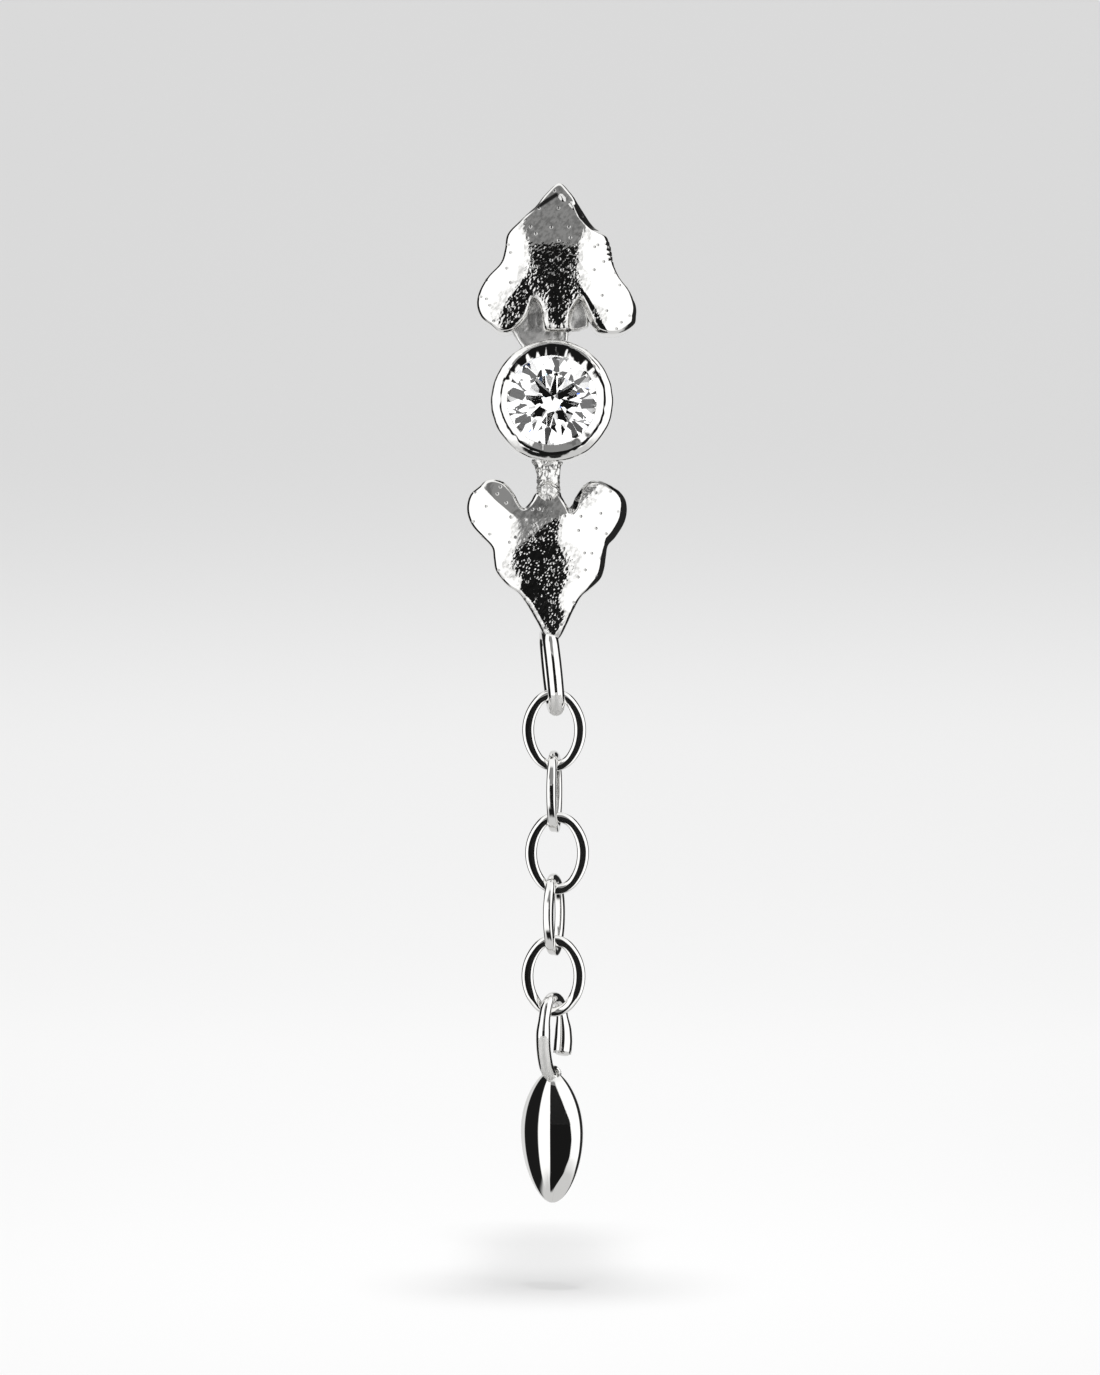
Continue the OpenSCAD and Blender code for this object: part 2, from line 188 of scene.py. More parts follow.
# The form of each leaf's face. Its middle is a flat band between two creases, and falls away beside them
UPPER_FORM = {
    "seed": 3.0,
    # up, and how far across the left and the right crease lie there
    "creases": [(2.0, -0.66, 0.72), (3.2, -0.64, 0.66), (3.7, -0.62, 0.70), (4.4, -0.66, 0.76), (4.8, -0.80, 0.94),
                (5.3, -0.82, 0.86)],
    # 1 for a tip that points up and -1 for one that points down, the height past which the face falls towards it,
    # how fast, and the slope that it starts with
    "tip": (1, 4.38, 0.04, 0.14),
    "foot": [],
    # across, up, fall there, and how fast it falls across and up: planes cut into the face
    "cuts": [(-1.04, 2.65, 0.175, -0.100, -0.132), (1.33, 2.30, 0.195, 0.050, -0.138)],
    # across, up, radius and height
    "domes": [(-1.50, 2.85, 0.62, 0.03), (1.62, 2.80, 0.60, 0.03), (0.25, 5.70, 0.05, 0.04),
              (0.30, 5.63, 0.05, 0.04), (0.53, 5.48, 0.05, 0.04), (0.60, 5.40, 0.05, 0.04),
              (-0.06, 2.08, 0.10, 0.05), (0.34, 2.06, 0.10, 0.05)],
    # lines of painted dark reflection, darkened into the colour where the polished face would mirror something dark:
    # from across and up to across and up, width and depth of tone
    "dark": [(-0.70, 5.21, -0.36, 5.42, 0.035, 0.9), (-0.36, 5.43, 0.12, 5.75, 0.06, 0.97),
             (-0.47, 2.72, -0.30, 2.40, 0.03, 0.8)],
    # up, and the width of the bevel on the right side there
    "bevel": [(1.9, 0.05), (2.05, 0.10), (2.4, 0.13), (2.75, 0.09), (3.1, 0.05), (3.8, 0.06), (3.9, 0.10),
              (4.45, 0.10), (4.58, 0.08), (4.75, 0.17), (5.1, 0.23), (5.4, 0.17), (5.65, 0.0)],
    # up from and to, and the spacing of the file marks along the bevel there
    "ticks": (3.85, 4.5, 0.14),
    # how far past the tip's level the extra bevel of the flank starts and is full
    "flank": (9.0, 9.5),
    # the height above which the grain fades, and rough spots: across, up, radius and amount
    "smooth_above": [(0.0, 4.42)],
    "rough": [(-1.05, 2.5, 0.5, 1.2), (-0.85, 3.0, 0.35, 1.1), (1.2, 2.35, 0.25, 1.0), (-0.66, 4.85, 0.22, 0.8),
              (0.85, 4.6, 0.2, 0.7), (-0.55, 3.6, 0.3, 1.2), (0.6, 3.3, 0.35, 1.2)],
    "calm": [(0.05, 3.95, 0.5, 0.25), (0.1, 3.1, 0.45, 0.3)],
}
LOWER_FORM = {
    "seed": 11.0,
    "creases": [(-5.85, -1.05, 0.40), (-5.75, -1.05, 0.22), (-5.40, -1.00, 0.22), (-4.95, -0.84, 0.42),
                (-4.70, -1.08, 0.42), (-4.14, -1.12, 0.28), (-3.86, -1.10, 0.14), (-3.40, -1.08, 0.20),
                (-2.90, -1.07, 0.22)],
    "tip": (-1, -4.45, 0.05, 0.0),
    # across and up along the line above which the foot falls away
    "foot": [(-1.10, -4.19), (0.20, -3.07)],
    "cuts": [(-1.03, -3.17, 0.166, -0.127, 0.350), (0.62, -2.95, 0.137, 0.050, 0.392)],
    "domes": [(-1.82, -3.10, 0.55, 0.03), (1.62, -3.10, 0.60, 0.03), (0.0, -4.75, 0.16, 0.012)],
    # lines of painted dark reflection, as on the upper leaf: from across and up to across and up, width and depth of
    # tone
    "dark": [(-0.68, -2.95, -0.47, -2.50, 0.05, 0.9), (0.20, -2.60, 0.50, -2.93, 0.05, 0.9),
             (0.62, -2.75, 0.80, -2.50, 0.03, 0.8), (1.35, -2.24, 1.85, -2.48, 0.05, 0.8)],
    "bevel": [(-5.6, 0.0), (-5.3, 0.05), (-5.1, 0.10), (-4.8, 0.15), (-4.3, 0.15), (-4.0, 0.11), (-3.8, 0.18),
              (-3.0, 0.20), (-2.6, 0.13), (-2.3, 0.08), (-2.1, 0.05)],
    "ticks": (0.0, 0.0, 1.0),
    "flank": (0.9, 1.3),
    "smooth_above": [(-1.10, -4.16), (0.20, -3.10)],
    "rough": [(0.85, -2.6, 0.32, 1.0), (1.15, -2.3, 0.25, 1.0), (0.25, -4.5, 0.45, 1.3), (-1.0, -4.6, 0.3, 1.2),
              (-0.1, -3.1, 0.2, 0.5)],
    "calm": [(-0.75, -5.3, 0.40, 0.75), (-0.35, -5.9, 0.30, 0.5), (-0.4, -4.2, 0.3, 0.15)],
}
FOOT_SLOPE = 0.15  # how steep a leaf's foot is
BACK_GRAIN = 0.15  # how rough a leaf's back is
# The grain in the silver runs at a slant, and is longer than it is wide
GRAIN_SLANT = math.radians(35)
GRAIN_STRETCH = 1.6
DARK_SHARE = 0.04  # the colour of wholly darkened silver, where clouds, pits or painted dark reflection darken it fully, as a share of its own
CLOUD_TONE = 0.42  # how much darker the clouds in the grain are
PIT_TONE = 0.4  # how much darker a pit is
FLECK_LEAN = 36.0  # how fast a bright fleck of the grain rises across, as a share of the grain's depth for each mm
BEVEL_SLOPE = 1.7  # how steep the bevel on a leaf's right side is
PILLOW_FADE = 0.22  # over how far inside the rim the face rises to its swell
FLANK_WIDTH = 0.14  # how wide the extra bevel of a leaf's flank is
FLANK_SLOPE = 0.32  # how steep that bevel is
TICK_DEPTH = 0.9  # how deep the file marks along the bevel are, as a share of its width
BROAD_BEVEL = 0.08  # the bevel's width from which the rim is sharper
SHARP_RIM = 0.35  # the rim's radius beside a broad bevel, as a share of the panel's
SOFT_RIM = 0.8  # and elsewhere
RIM_STEEPNESS = 1.3
THINNEST = 0.45  # the least thickness of a leaf
HALF_LEAF = 2.24  # half the width over which the lobes fall back
LAST_SHARE = 0.985  # how far towards a leaf's middle its last row of faces lies
BACK_SHARES = (LAST_SHARE, 0.6, 0.3, 0.1, 0.02)
ROW_CROWDING = 1.5  # how much closer the rows of faces lie near the rim
WALL_STEPS = 8
BACK_SOFT = 0.05  # how far the edge of a leaf's back is rounded
CALM_GRAIN = 0.06  # how rough the smoothest part of a leaf's face is
SWELLS = ((0.010, 0.9), (0.0022, 0.24))  # height and size of the uneven swell and the dents in a face
GRAIN = "grain"  # the vertex attribute that says how rough a face is
PAINTED_DARK = "painted_dark"  # the vertex attribute that says how much painted dark reflection darkens a face

# The cup's rim: how far its crest lies behind the stone's front, and how wide the crest is
RIM_BEHIND = 0.18
CREST_WIDTH = 0.10
# How uneven the rim is: its waves, lumps and dents by pitch, seed and drift outward
RIM_NOISES = ((2.3, 4.0, 0), (6.5, 8.0, 2), (16, 2.0, 5))
RIM_WAVE = 0.012  # how far the waves push it outward
RIM_LUMP = 0.014  # how far the lumps push it outward
RIM_DEEPER = 0.012  # how far back it lies, and how much the lumps change that
RIM_DENT = 0.006  # how deep its dents are
# Where the mouth's extra height starts, is full, is full last and ends, in degrees from the top
BROW_TURNS = (14, 32, 62, 76)

# Burrs on the cup's rim and nicks in it, which have a negative height: across, up, radius and height
RIM_BURRS = [
    (-1.41, 0.03, 0.06, 0.05), (0.05, 1.42, 0.05, -0.03), (0.22, 1.40, 0.045, 0.03), (0.36, 1.37, 0.05, -0.03),
    (-0.42, 1.33, 0.05, 0.02), (1.20, 0.86, 0.07, 0.02), (1.40, -0.25, 0.06, 0.018), (-0.95, -1.05, 0.08, 0.02),
]


class LeafSettings(bpy.types.PropertyGroup):
    """Sizes of the two cast leaves, in millimetres."""

    thickness: FloatProperty(name="Thickness", description="Thickness of a leaf in its middle", default=1.35, min=0.5)
    lift: FloatProperty(name="Lift", description="Gap between the ear and the leaves' backs", default=0.2, min=0.0)
    slope: FloatProperty(name="Slope", description="How fast the face falls beside its middle band", default=0.26,
                         min=0.0)
    bow: FloatProperty(name="Bow", description="How much further the side lobes fall back", default=0.08, min=0.0)
    crease: FloatProperty(name="Crease", description="Width over which the face turns at a crease", default=0.05,
                          min=0.01)
    pillow: FloatProperty(name="Pillow", description="How far the face swells inside its rim", default=0.03, min=0.0)
    rim: FloatProperty(name="Rim", description="Radius that the rim is rounded to", default=0.12, min=0.01)
    rows: IntProperty(name="Rows", description="Rows of faces from the rim to the middle", default=44, min=8)


class CupSettings(bpy.types.PropertyGroup):
    """Sizes of the stone's cup, in millimetres."""

    diameter: FloatProperty(name="Diameter", description="Outer diameter of the cup", default=3.40, min=1.0)
    mouth: FloatProperty(name="Mouth", description="Diameter of the opening round the stone", default=2.47, min=1.0)
    crest: FloatProperty(name="Crest", description="Diameter of the rim's crest", default=2.92, min=1.0)
    crest_shift: FloatProperty(name="Crest Shift", description="How far the crest stands off to the right",
                               default=0.03)
    crest_rise: FloatProperty(name="Crest Rise", description="How far the crest stands off at the top", default=0.10)
    brow: FloatProperty(name="Brow", description="How much higher the mouth stands beside the top", default=0.040)
    steps: IntProperty(name="Steps", description="Faces round the cup", default=192, min=32)


class StoneSettings(bpy.types.PropertyGroup):
    """Cut of the round stone."""

    table: FloatProperty(name="Table", description="Table's diameter as a share of the stone's", default=0.57)
    crown: FloatProperty(name="Crown", description="Slope of the crown's main facets", default=math.radians(34),
                         subtype="ANGLE")
    pavilion: FloatProperty(name="Pavilion", description="Slope of the pavilion's main facets",
                            default=math.radians(40.5), subtype="ANGLE")
    turn: FloatProperty(name="Turn", description="How far the stone is turned in its cup", default=math.radians(8),
                        subtype="ANGLE")
    tilt: FloatProperty(name="Tilt", description="How far the stone leans in its cup", default=math.radians(1.2),
                        subtype="ANGLE")
    index: FloatProperty(name="Index", description="Refractive index of the stone", default=2.15)


class ChainSettings(bpy.types.PropertyGroup):
    """Sizes of the chain's links and of the wires they hang on, in millimetres."""

    wire: FloatProperty(name="Wire", description="Thickness of a link's wire", default=0.27, min=0.05)
    side_wire: FloatProperty(name="Side Wire", description="Width of a link's wire along its sides", default=0.335,
                             min=0.05)
    link_w: FloatProperty(name="Link Width", description="Width of a link", default=1.79, min=0.5)
    link_h: FloatProperty(name="Link Height", description="Height of a link", default=2.28, min=0.5)
    ring_wire: FloatProperty(name="Ring Wire", description="Diameter of the leaf ring's wire", default=0.46, min=0.05)
    end_share: FloatProperty(name="End Share", description="Radius of a link's ends as a share of half its width",
                             default=0.8)


class DropSettings(bpy.types.PropertyGroup):
    """Sizes of the marquise drop, in millimetres."""

    width: FloatProperty(name="Width", description="Width of the marquise", default=1.74, min=0.2)
    height: FloatProperty(name="Height", description="Height of the marquise", default=3.7, min=0.2)
    thickness: FloatProperty(name="Thickness", description="Thickness of the marquise", default=1.44, min=0.2)
    hook_wire: FloatProperty(name="Hook Wire", description="Diameter of the hook's wire", default=0.4, min=0.05)
    end_swell: FloatProperty(name="End Swell", description="How much thicker the hook's free end is", default=0.3,
                             min=0.0)


class SilverSettings(bpy.types.PropertyGroup):
    """Finish of the silver."""

    colour: FloatVectorProperty(name="Colour", description="Colour of the silver", subtype="COLOR", size=3,
                                default=(0.88, 0.875, 0.86), min=0.0, max=1.0)
    polish: FloatProperty(name="Polish", description="Roughness of the polished silver", default=0.05, min=0.0)


class StageSettings(bpy.types.PropertyGroup):
    """The studio: its camera and its floor."""

    distance: FloatProperty(name="Distance", description="From the camera to the ear's plane, in millimetres",
                            default=90.0)
    floor: FloatProperty(name="Floor", description="Height of the floor, in millimetres", default=-24.7)


# The silvers: roughness as a share of the polish, grain size in mm, grain, flecks, pits, and depth in mm
SILVERS = {
    "cast silver": (1.0, 0.066, 1.0, 1.0, 1.0, 0.0155),
    "rim silver": (0.8, 0.10, 0.7, 0.0, 0.0, 0.003),
    "solder silver": (6.0, 0.11, 1.0, 0.0, 0.0, 0.010),
    "chain silver": (0.8, 0.15, 0.5, 0.0, 0.0, 0.004),
    "drop silver": (0.6, 0.15, 0.3, 0.0, 0.0, 0.0006),
    "post silver": (2.0, 0.08, 0.6, 0.0, 0.0, 0.001),
    "worn silver": (13.0, 0.12, 0.3, 0.0, 0.0, 0.0006),
}

# The paper sweep, in millimetres: where its curve starts and how wide it is, and its half width, front and top
CURVE_START = 60
CURVE_RADIUS = 80
CURVE_STEPS = 48
SWEEP_HALF = 400
FLOOR_FRONT = -300
WALL_TOP = 400
PAPER = 0.25  # the paper's own grey, to which its glow adds
# Its glow, painted light that stands in for the studio light falling on it, by how far back and up a place lies: from
# and to, then where each glow stands between the two
PAPER_SPAN = (-60, 190)
# Three greys: the floor, the light band where the sweep curves up, and the wall
FLOOR_GLOW = 0.63
BAND_GLOW = 0.75
WALL_GLOW = 0.61
PAPER_GLOWS = ((0.18, FLOOR_GLOW), (0.42, BAND_GLOW), (0.60, BAND_GLOW), (0.78, WALL_GLOW))
# The light overhead, in millimetres and watts
LAMP_SIZE = 11
LAMP_PLACE = (0.4, -0.8, 60)
LAMP_WATTS = 0.085

# The dark card before the drop: its left, right, lowest and highest edges and its depth, in millimetres
FLAG = (-0.6, 3.4, -19.5, -8.0, -9.5)
FLAG_GREY = 0.01

# The light tent, by turn from the camera and by slope, in degrees: left, right, low, high, softness and light
TENT_GREY = 0.66
BACKDROP_GREY = 0.64
SOFT_BOXES = (
    (-400, 400, 50, 100, 8, 1.05),
    (-84, 97, -52, 55, 6, 1.25),
    (-400, 400, -110, -37, 13, 0.66),
    (-148, -84, -35, 50, 4, 0.012),
    (97, 160, -35, 50, 4, 0.02),
    (-400, -148, -35, 40, 6, 0.75),
    (160, 400, -35, 40, 6, 0.75),
    (-42, 28, -62, -40, 5, 0.012),
    (-30, 26, 30, 60, 5, 0.16),
    (-18, 19, -62, 16, 2.5, 0.010),
    (-20, 20, 16, 58, 2.5, 0.27),
)
# What only the stone picks up: its own pale surround, the dark parts of that, and small coloured sparkles
STONE_GLOW = 2.2
STONE_SHADES = (
    (-11, 11, -26, 17, 2, 0.01),
    (-60, 60, -62, -40, 3, 0.02),
    (100, 122, -20, 30, 3, 0.02),
    (-75, -60, 10, 35, 3, 0.02),
    (-140, -110, -30, 10, 3, 0.15),
)
FIRE_SOFTNESS = 1.5
FIRE_SPOTS = (
    (-36, 26, 11, (0.02, 0.28, 1.6)),
    (-58, 26, 9, (0.25, 0.85, 1.3)),
    (35, -22, 5, (0.35, 1.1, 1.5)),
    (62, 35, 5, (0.35, 0.6, 1.1)),
    (-80, -20, 9, (0.45, 0.62, 0.60)),
)


# Small helpers that shape meshes


def new_mesh():
    """A bmesh whose vertices can carry the number of their step round a ring."""
    bm = bmesh.new()
    bm.verts.layers.int.new("step")
    return bm


def start_ring(bm, places):
    """A closed ring of edges through the places, whose vertices know their step."""
    made = bmesh.ops.create_circle(bm, cap_ends=False, segments=len(places), radius=1.0)["verts"]
    step = bm.verts.layers.int["step"]
    for i, vert in enumerate(made):
        vert[step] = i
        vert.co = places[i]
    return list(dict.fromkeys(e for v in made for e in v.link_edges))


def grow_ring(bm, edges, places):
    """Extrudes a ring of edges and moves the new ring to the places."""
    made = bmesh.ops.extrude_edge_only(bm, edges=edges)["geom"]
    step = bm.verts.layers.int["step"]
    for vert in made:
        if isinstance(vert, bmesh.types.BMVert):
            vert.co = places[vert[step]]
    return [e for e in made if isinstance(e, bmesh.types.BMEdge) and e.is_boundary]


def ends_of(edges):
    """The vertices at the ends of edges, each once, in the order of the edges."""
    return list(dict.fromkeys(v for e in edges for v in e.verts))


def close_ring(bm, edges):
    """Draws a ring together in one point in its middle."""
    verts = ends_of(edges)
    middle = sum((v.co for v in verts), Vector()) / len(verts)
    bmesh.ops.pointmerge(bm, verts=verts, merge_co=middle)


def loft(bm, rows):
    """A closed skin through rows of places, drawn together at both ends."""
    first = start_ring(bm, rows[0])
    edges = first
    for row in rows[1:]:
        edges = grow_ring(bm, edges, row)
    close_ring(bm, [e for e in first if e.is_valid])
    close_ring(bm, edges)


def through(knots, steps):
    """Points of a smooth closed curve through the knots."""
    count = len(knots)
    points = []
    for k in range(count):
        a, b, c, d = (Vector(knots[(k + i - 1) % count]) for i in range(4))
        for j in range(steps):
            t = j / steps
            points.append(0.5 * (2 * b + (c - a) * t + (2 * a - 5 * b + 4 * c - d) * t**2
                                 + (3 * b - a - 3 * c + d) * t**3))
    return points


def finish(bm, name, body, node, material, smooth=True):
    """Makes a piece of a mesh in millimetres, and puts it on its body in place of its node."""
    bmesh.ops.remove_doubles(bm, verts=bm.verts, dist=1e-5)
    bmesh.ops.dissolve_degenerate(bm, edges=bm.edges, dist=1e-6)
    bmesh.ops.recalc_face_normals(bm, faces=bm.faces)
    bmesh.ops.scale(bm, verts=bm.verts, vec=(MM, MM, MM))
    for face in bm.faces:
        face.smooth = smooth
    mesh = bpy.data.meshes.new(name)
    bm.to_mesh(mesh)
    bm.free()
    piece = bpy.data.objects.new(name, mesh)
    bpy.context.scene.collection.objects.link(piece)
    piece.data.materials.append(material)
    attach(piece, body)
    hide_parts(node)
    return piece


def wear(piece, material, below, before):
    """Gives a duller finish to the part of a wire that is low and near, where it has rubbed."""
    piece.data.materials.append(material)
    for face in piece.data.polygons:
        place = face.center / MM
        notch = WEAR_NOTCH * abs(face.normal.x) if face.normal.y < 0 else 0.0
        faces_front = face.normal.y < WEAR_FACING and abs(face.normal.x) < WEAR_ASIDE
        if faces_front and place.z < below - WEAR_DIP * notch and place.y < before:
            face.material_index = 1


def fused(bm, voxel, rounds):
    """The closed shapes of a mesh melted into one skin of small even faces, smoothed a few rounds."""
    mesh = bpy.data.meshes.new("melt")
    bm.to_mesh(mesh)
    bm.free()
    melt = bpy.data.objects.new("melt", mesh)
    bpy.context.scene.collection.objects.link(melt)
    remesh = melt.modifiers.new("Melt", "REMESH")
    remesh.mode = "VOXEL"
    remesh.voxel_size = voxel
    shown = melt.evaluated_get(bpy.context.evaluated_depsgraph_get())
    out = new_mesh()
    out.from_mesh(shown.to_mesh())
    shown.to_mesh_clear()
    bpy.data.objects.remove(melt)
    bpy.data.meshes.remove(mesh)
    for _ in range(rounds):
        bmesh.ops.smooth_vert(out, verts=out.verts, factor=0.5, use_axis_x=True, use_axis_y=True, use_axis_z=True)
    return out


def roughen(bm, size, depth, seed):
    """Moves every vertex a little along its normal, by a noise of the given size and depth."""
    bm.normal_update()
    moves = [v.normal * depth * noise.noise(v.co / size + Vector((seed, 0, 0))) for v in bm.verts]
    for vert, move in zip(bm.verts, moves):
        vert.co += move


# The leaves


def edge_distances(points, outline):
    """The distance from each point to an outline, both as arrays of two columns."""
    a = outline
    b = np.roll(outline, -1, axis=0)
    along = b - a
    rel = points[:, None, :] - a[None, :, :]
    share = np.clip((rel * along).sum(2) / (along**2).sum(1), 0, 1)
    return np.linalg.norm(rel - share[..., None] * along, axis=2).min(1)


def smooth_step(value, low, high):
    """A smooth step of an array from 0 at low to 1 at high."""
    t = np.clip((value - low) / (high - low), 0, 1)
    return t * t * (3 - 2 * t)


def columns(table):
    """The columns of a table as arrays."""
    return [np.array(column) for column in zip(*table)]


def beside_band(x, z, form):
    """How far each point lies outside the middle band, negative inside it."""
    up, left, right = columns(form["creases"])
    return np.maximum(np.interp(z, up, left) - x, x - np.interp(z, up, right))


def above_line(x, z, line):
    """How far each point lies above a line that is given by across and up."""
    across, up = columns(line)
    return z - np.interp(x, across, up)


def leaf_heights(points, outline, form, s):
    """How far the face of a leaf stands in front of its back at each point."""
    x, z = points[:, 0], points[:, 1]
    edge = edge_distances(points, outline)
    fall = s.slope * s.crease * np.logaddexp(0, beside_band(x, z, form) / s.crease)
    fall += s.bow * (x / HALF_LEAF) ** 2
    tip_up, level, speed, start = form["tip"]
    fall += speed * np.clip((z - level) * tip_up, 0, None) ** 2
    fall += start * s.crease * np.logaddexp(0, (z - level) * tip_up / s.crease)
    if form["foot"]:
        fall += FOOT_SLOPE * s.crease * np.logaddexp(0, above_line(x, z, form["foot"]) / s.crease)
    for px, pz, depth, across, up in form["cuts"]:
        fall = np.maximum(fall, depth + (x - px) * across + (z - pz) * up)
    fall += s.pillow * np.exp(-edge / PILLOW_FADE)
    for cx, cz, radius, height in form["domes"]:
        fall -= height * np.exp(-((x - cx) ** 2 + (z - cz) ** 2) / radius**2)
    flank = smooth_step((z - level) * tip_up, *form["flank"])
    fall += FLANK_SLOPE * flank * np.clip(FLANK_WIDTH - edge, 0, None)
    up, width = columns(form["bevel"])
    low, high, pitch = form["ticks"]
    ticks = 1 + TICK_DEPTH * ((z > low) & (z < high)) * np.sin(2 * math.pi * z / pitch)
    width = np.interp(z, up, width) * smooth_step(x, 0.3, 0.5) * ticks
    fall += BEVEL_SLOPE * np.clip(width - edge, 0, None)
    rim = s.rim * np.where(width > BROAD_BEVEL, SHARP_RIM, SOFT_RIM)
    inside = np.clip(1 - edge / rim, 0, 1)
    rounding = rim * RIM_STEEPNESS * (1 - np.sqrt(np.clip(1 - inside**2, 0, 1)))
    return np.clip(s.thickness - fall, THINNEST, None) - rounding


def near_spots(x, z, spots):
    """The strongest of some round spots at each point: across, up, radius and amount."""
    strongest = np.zeros_like(x)
    for cx, cz, radius, amount in spots:
        strongest = np.maximum(strongest, amount * np.exp(-(((x - cx) ** 2 + (z - cz) ** 2) / radius**2) ** 2))
    return strongest


def leaf_grain(x, z, edge, form):
    """How rough the face of a leaf is at each point: in its middle band below a line, and in rough spots."""
    band = 1 - smooth_step(beside_band(x, z, form), -0.02, 0.14)
    below = 1 - smooth_step(above_line(x, z, form["smooth_above"]), -0.12, 0.12)
    rough = np.maximum(band * (0.1 + 0.9 * below), near_spots(x, z, form["rough"]))
    return CALM_GRAIN + rough * (1 - near_spots(x, z, form["calm"])) * (0.2 + 0.8 * smooth_step(edge, 0.04, 0.2))


def leaf_painted_dark(x, z, form):
    """How much painted dark reflection darkens the face of a leaf at each point, along its dark lines."""
    painted_dark = np.zeros_like(x)
    for ax, az, bx, bz, width, depth in form["dark"]:
        along = np.array([bx - ax, bz - az])
        share = np.clip(((x - ax) * along[0] + (z - az) * along[1]) / (along @ along), 0, 1)
        away = np.hypot(x - ax - share * along[0], z - az - share * along[1])
        painted_dark = np.maximum(painted_dark, depth * (1 - smooth_step(away, width * 0.7, width * 1.3)))
    return painted_dark


def leaf_mesh(knots, middle, form, s):
    """A cast leaf: a flat back, an upright wall, a rounded rim and a domed face."""
    outline = through(knots, 7)
    flat = np.array([(p.x, p.y) for p in outline])
    centre = np.array(middle)
    shares = [LAST_SHARE * (k / s.rows) ** ROW_CROWDING for k in range(s.rows + 1)]
    rows = []
    back_y = -s.lift
    for share in BACK_SHARES:
        rows.append([Vector((x, back_y, z)) for x, z in flat * (1 - share) + centre * share])
    face_rows = []
    for share in shares:
        points = flat * (1 - share) + centre * share
        heights = leaf_heights(points, flat, form, s)
        face_rows.append([
            Vector((x, back_y - h - ripple(x, z, form["seed"], edge_share=min(1.0, share * 8)), z))
            for (x, z), h in zip(points, heights)
        ])
    rows.append([Vector((p.x, back_y - BACK_SOFT * 0.3, p.z)) for p in face_rows[0]])
    for k in range(WALL_STEPS):
        share = k / WALL_STEPS
        rows.append([
            Vector((p.x, back_y - BACK_SOFT + (p.y - back_y + BACK_SOFT) * share, p.z)) for p in face_rows[0]
        ])
    rows += face_rows
    bm = new_mesh()
    loft(bm, rows)
    places = np.array([vert.co for vert in bm.verts])
    x, z = places[:, 0], places[:, 2]
    edge = edge_distances(places[:, (0, 2)], flat)
    face = smooth_step(-places[:, 1], s.lift + 0.05, s.lift + 0.3)
    grain = BACK_GRAIN + (leaf_grain(x, z, edge, form) - BACK_GRAIN) * face
    # Each vertex keeps how rough its face is, and how much painted dark reflection darkens it
    for name, values in ((GRAIN, grain), (PAINTED_DARK, leaf_painted_dark(x, z, form) * face)):
        layer = bm.verts.layers.float.new(name)
        for vert, value in zip(bm.verts, values):
            vert[layer] = value
    return bm


def ripple(x, z, seed, edge_share):
    """The uneven swell that hammering and polishing leave on a face, in millimetres."""
    place = Vector((x, z, seed))
    return sum(height * noise.noise(place / size) for height, size in SWELLS) * edge_share


# Wires, rings and turned shapes


def wire_section(centre, radius, sides, square=2.0):
    """Places round a wire's section, square to the Z axis; a higher square flattens its four sides."""
    places = []
    for i in range(sides):
        across, deep = (math.cos(2 * math.pi * i / sides), math.sin(2 * math.pi * i / sides))
        reach = (abs(across) ** square + abs(deep) ** square) ** (-1 / square)
        places.append(centre + Vector((across, deep, 0)) * radius * reach)
    return places


def bend(bm, edges, pivot, axis, angle, steps):
    """Carries a ring of edges round a pivot, and leaves a bent tube behind it."""
    made = bmesh.ops.spin(bm, geom=ends_of(edges) + list(edges), cent=pivot, axis=axis, dvec=(0, 0, 0), angle=angle,
                          steps=steps, use_merge=False, use_normal_flip=False, use_duplicate=False)
    return [e for e in made["geom_last"] if isinstance(e, bmesh.types.BMEdge)]


def oval_arcs(half_w, half_h, end_share):
    """An oval's four arcs: the radius and middle height of its ends, and the radius and half angle of its sides."""
    end_r = half_w * end_share
    end_z = half_h - end_r
    side_r = (half_w**2 + end_z**2 - end_r**2) / (2 * (half_w - end_r))
    return end_r, end_z, side_r, math.atan2(end_z, side_r - half_w)


def oval_foot(point, half_w, arcs):
    """The place on an oval's middle line that is nearest to a point."""
    end_r, end_z, side_r, half_side = arcs
    flat = Vector((point.x, 0, point.z))
    side_pivot = Vector((-math.copysign(side_r - half_w, point.x), 0, 0))
    turn = flat - side_pivot
    if abs(math.atan2(turn.z, abs(turn.x))) <= half_side:
        return side_pivot + turn.normalized() * side_r
    end_pivot = Vector((0, 0, math.copysign(end_z, point.z)))
    return end_pivot + (flat - end_pivot).normalized() * end_r


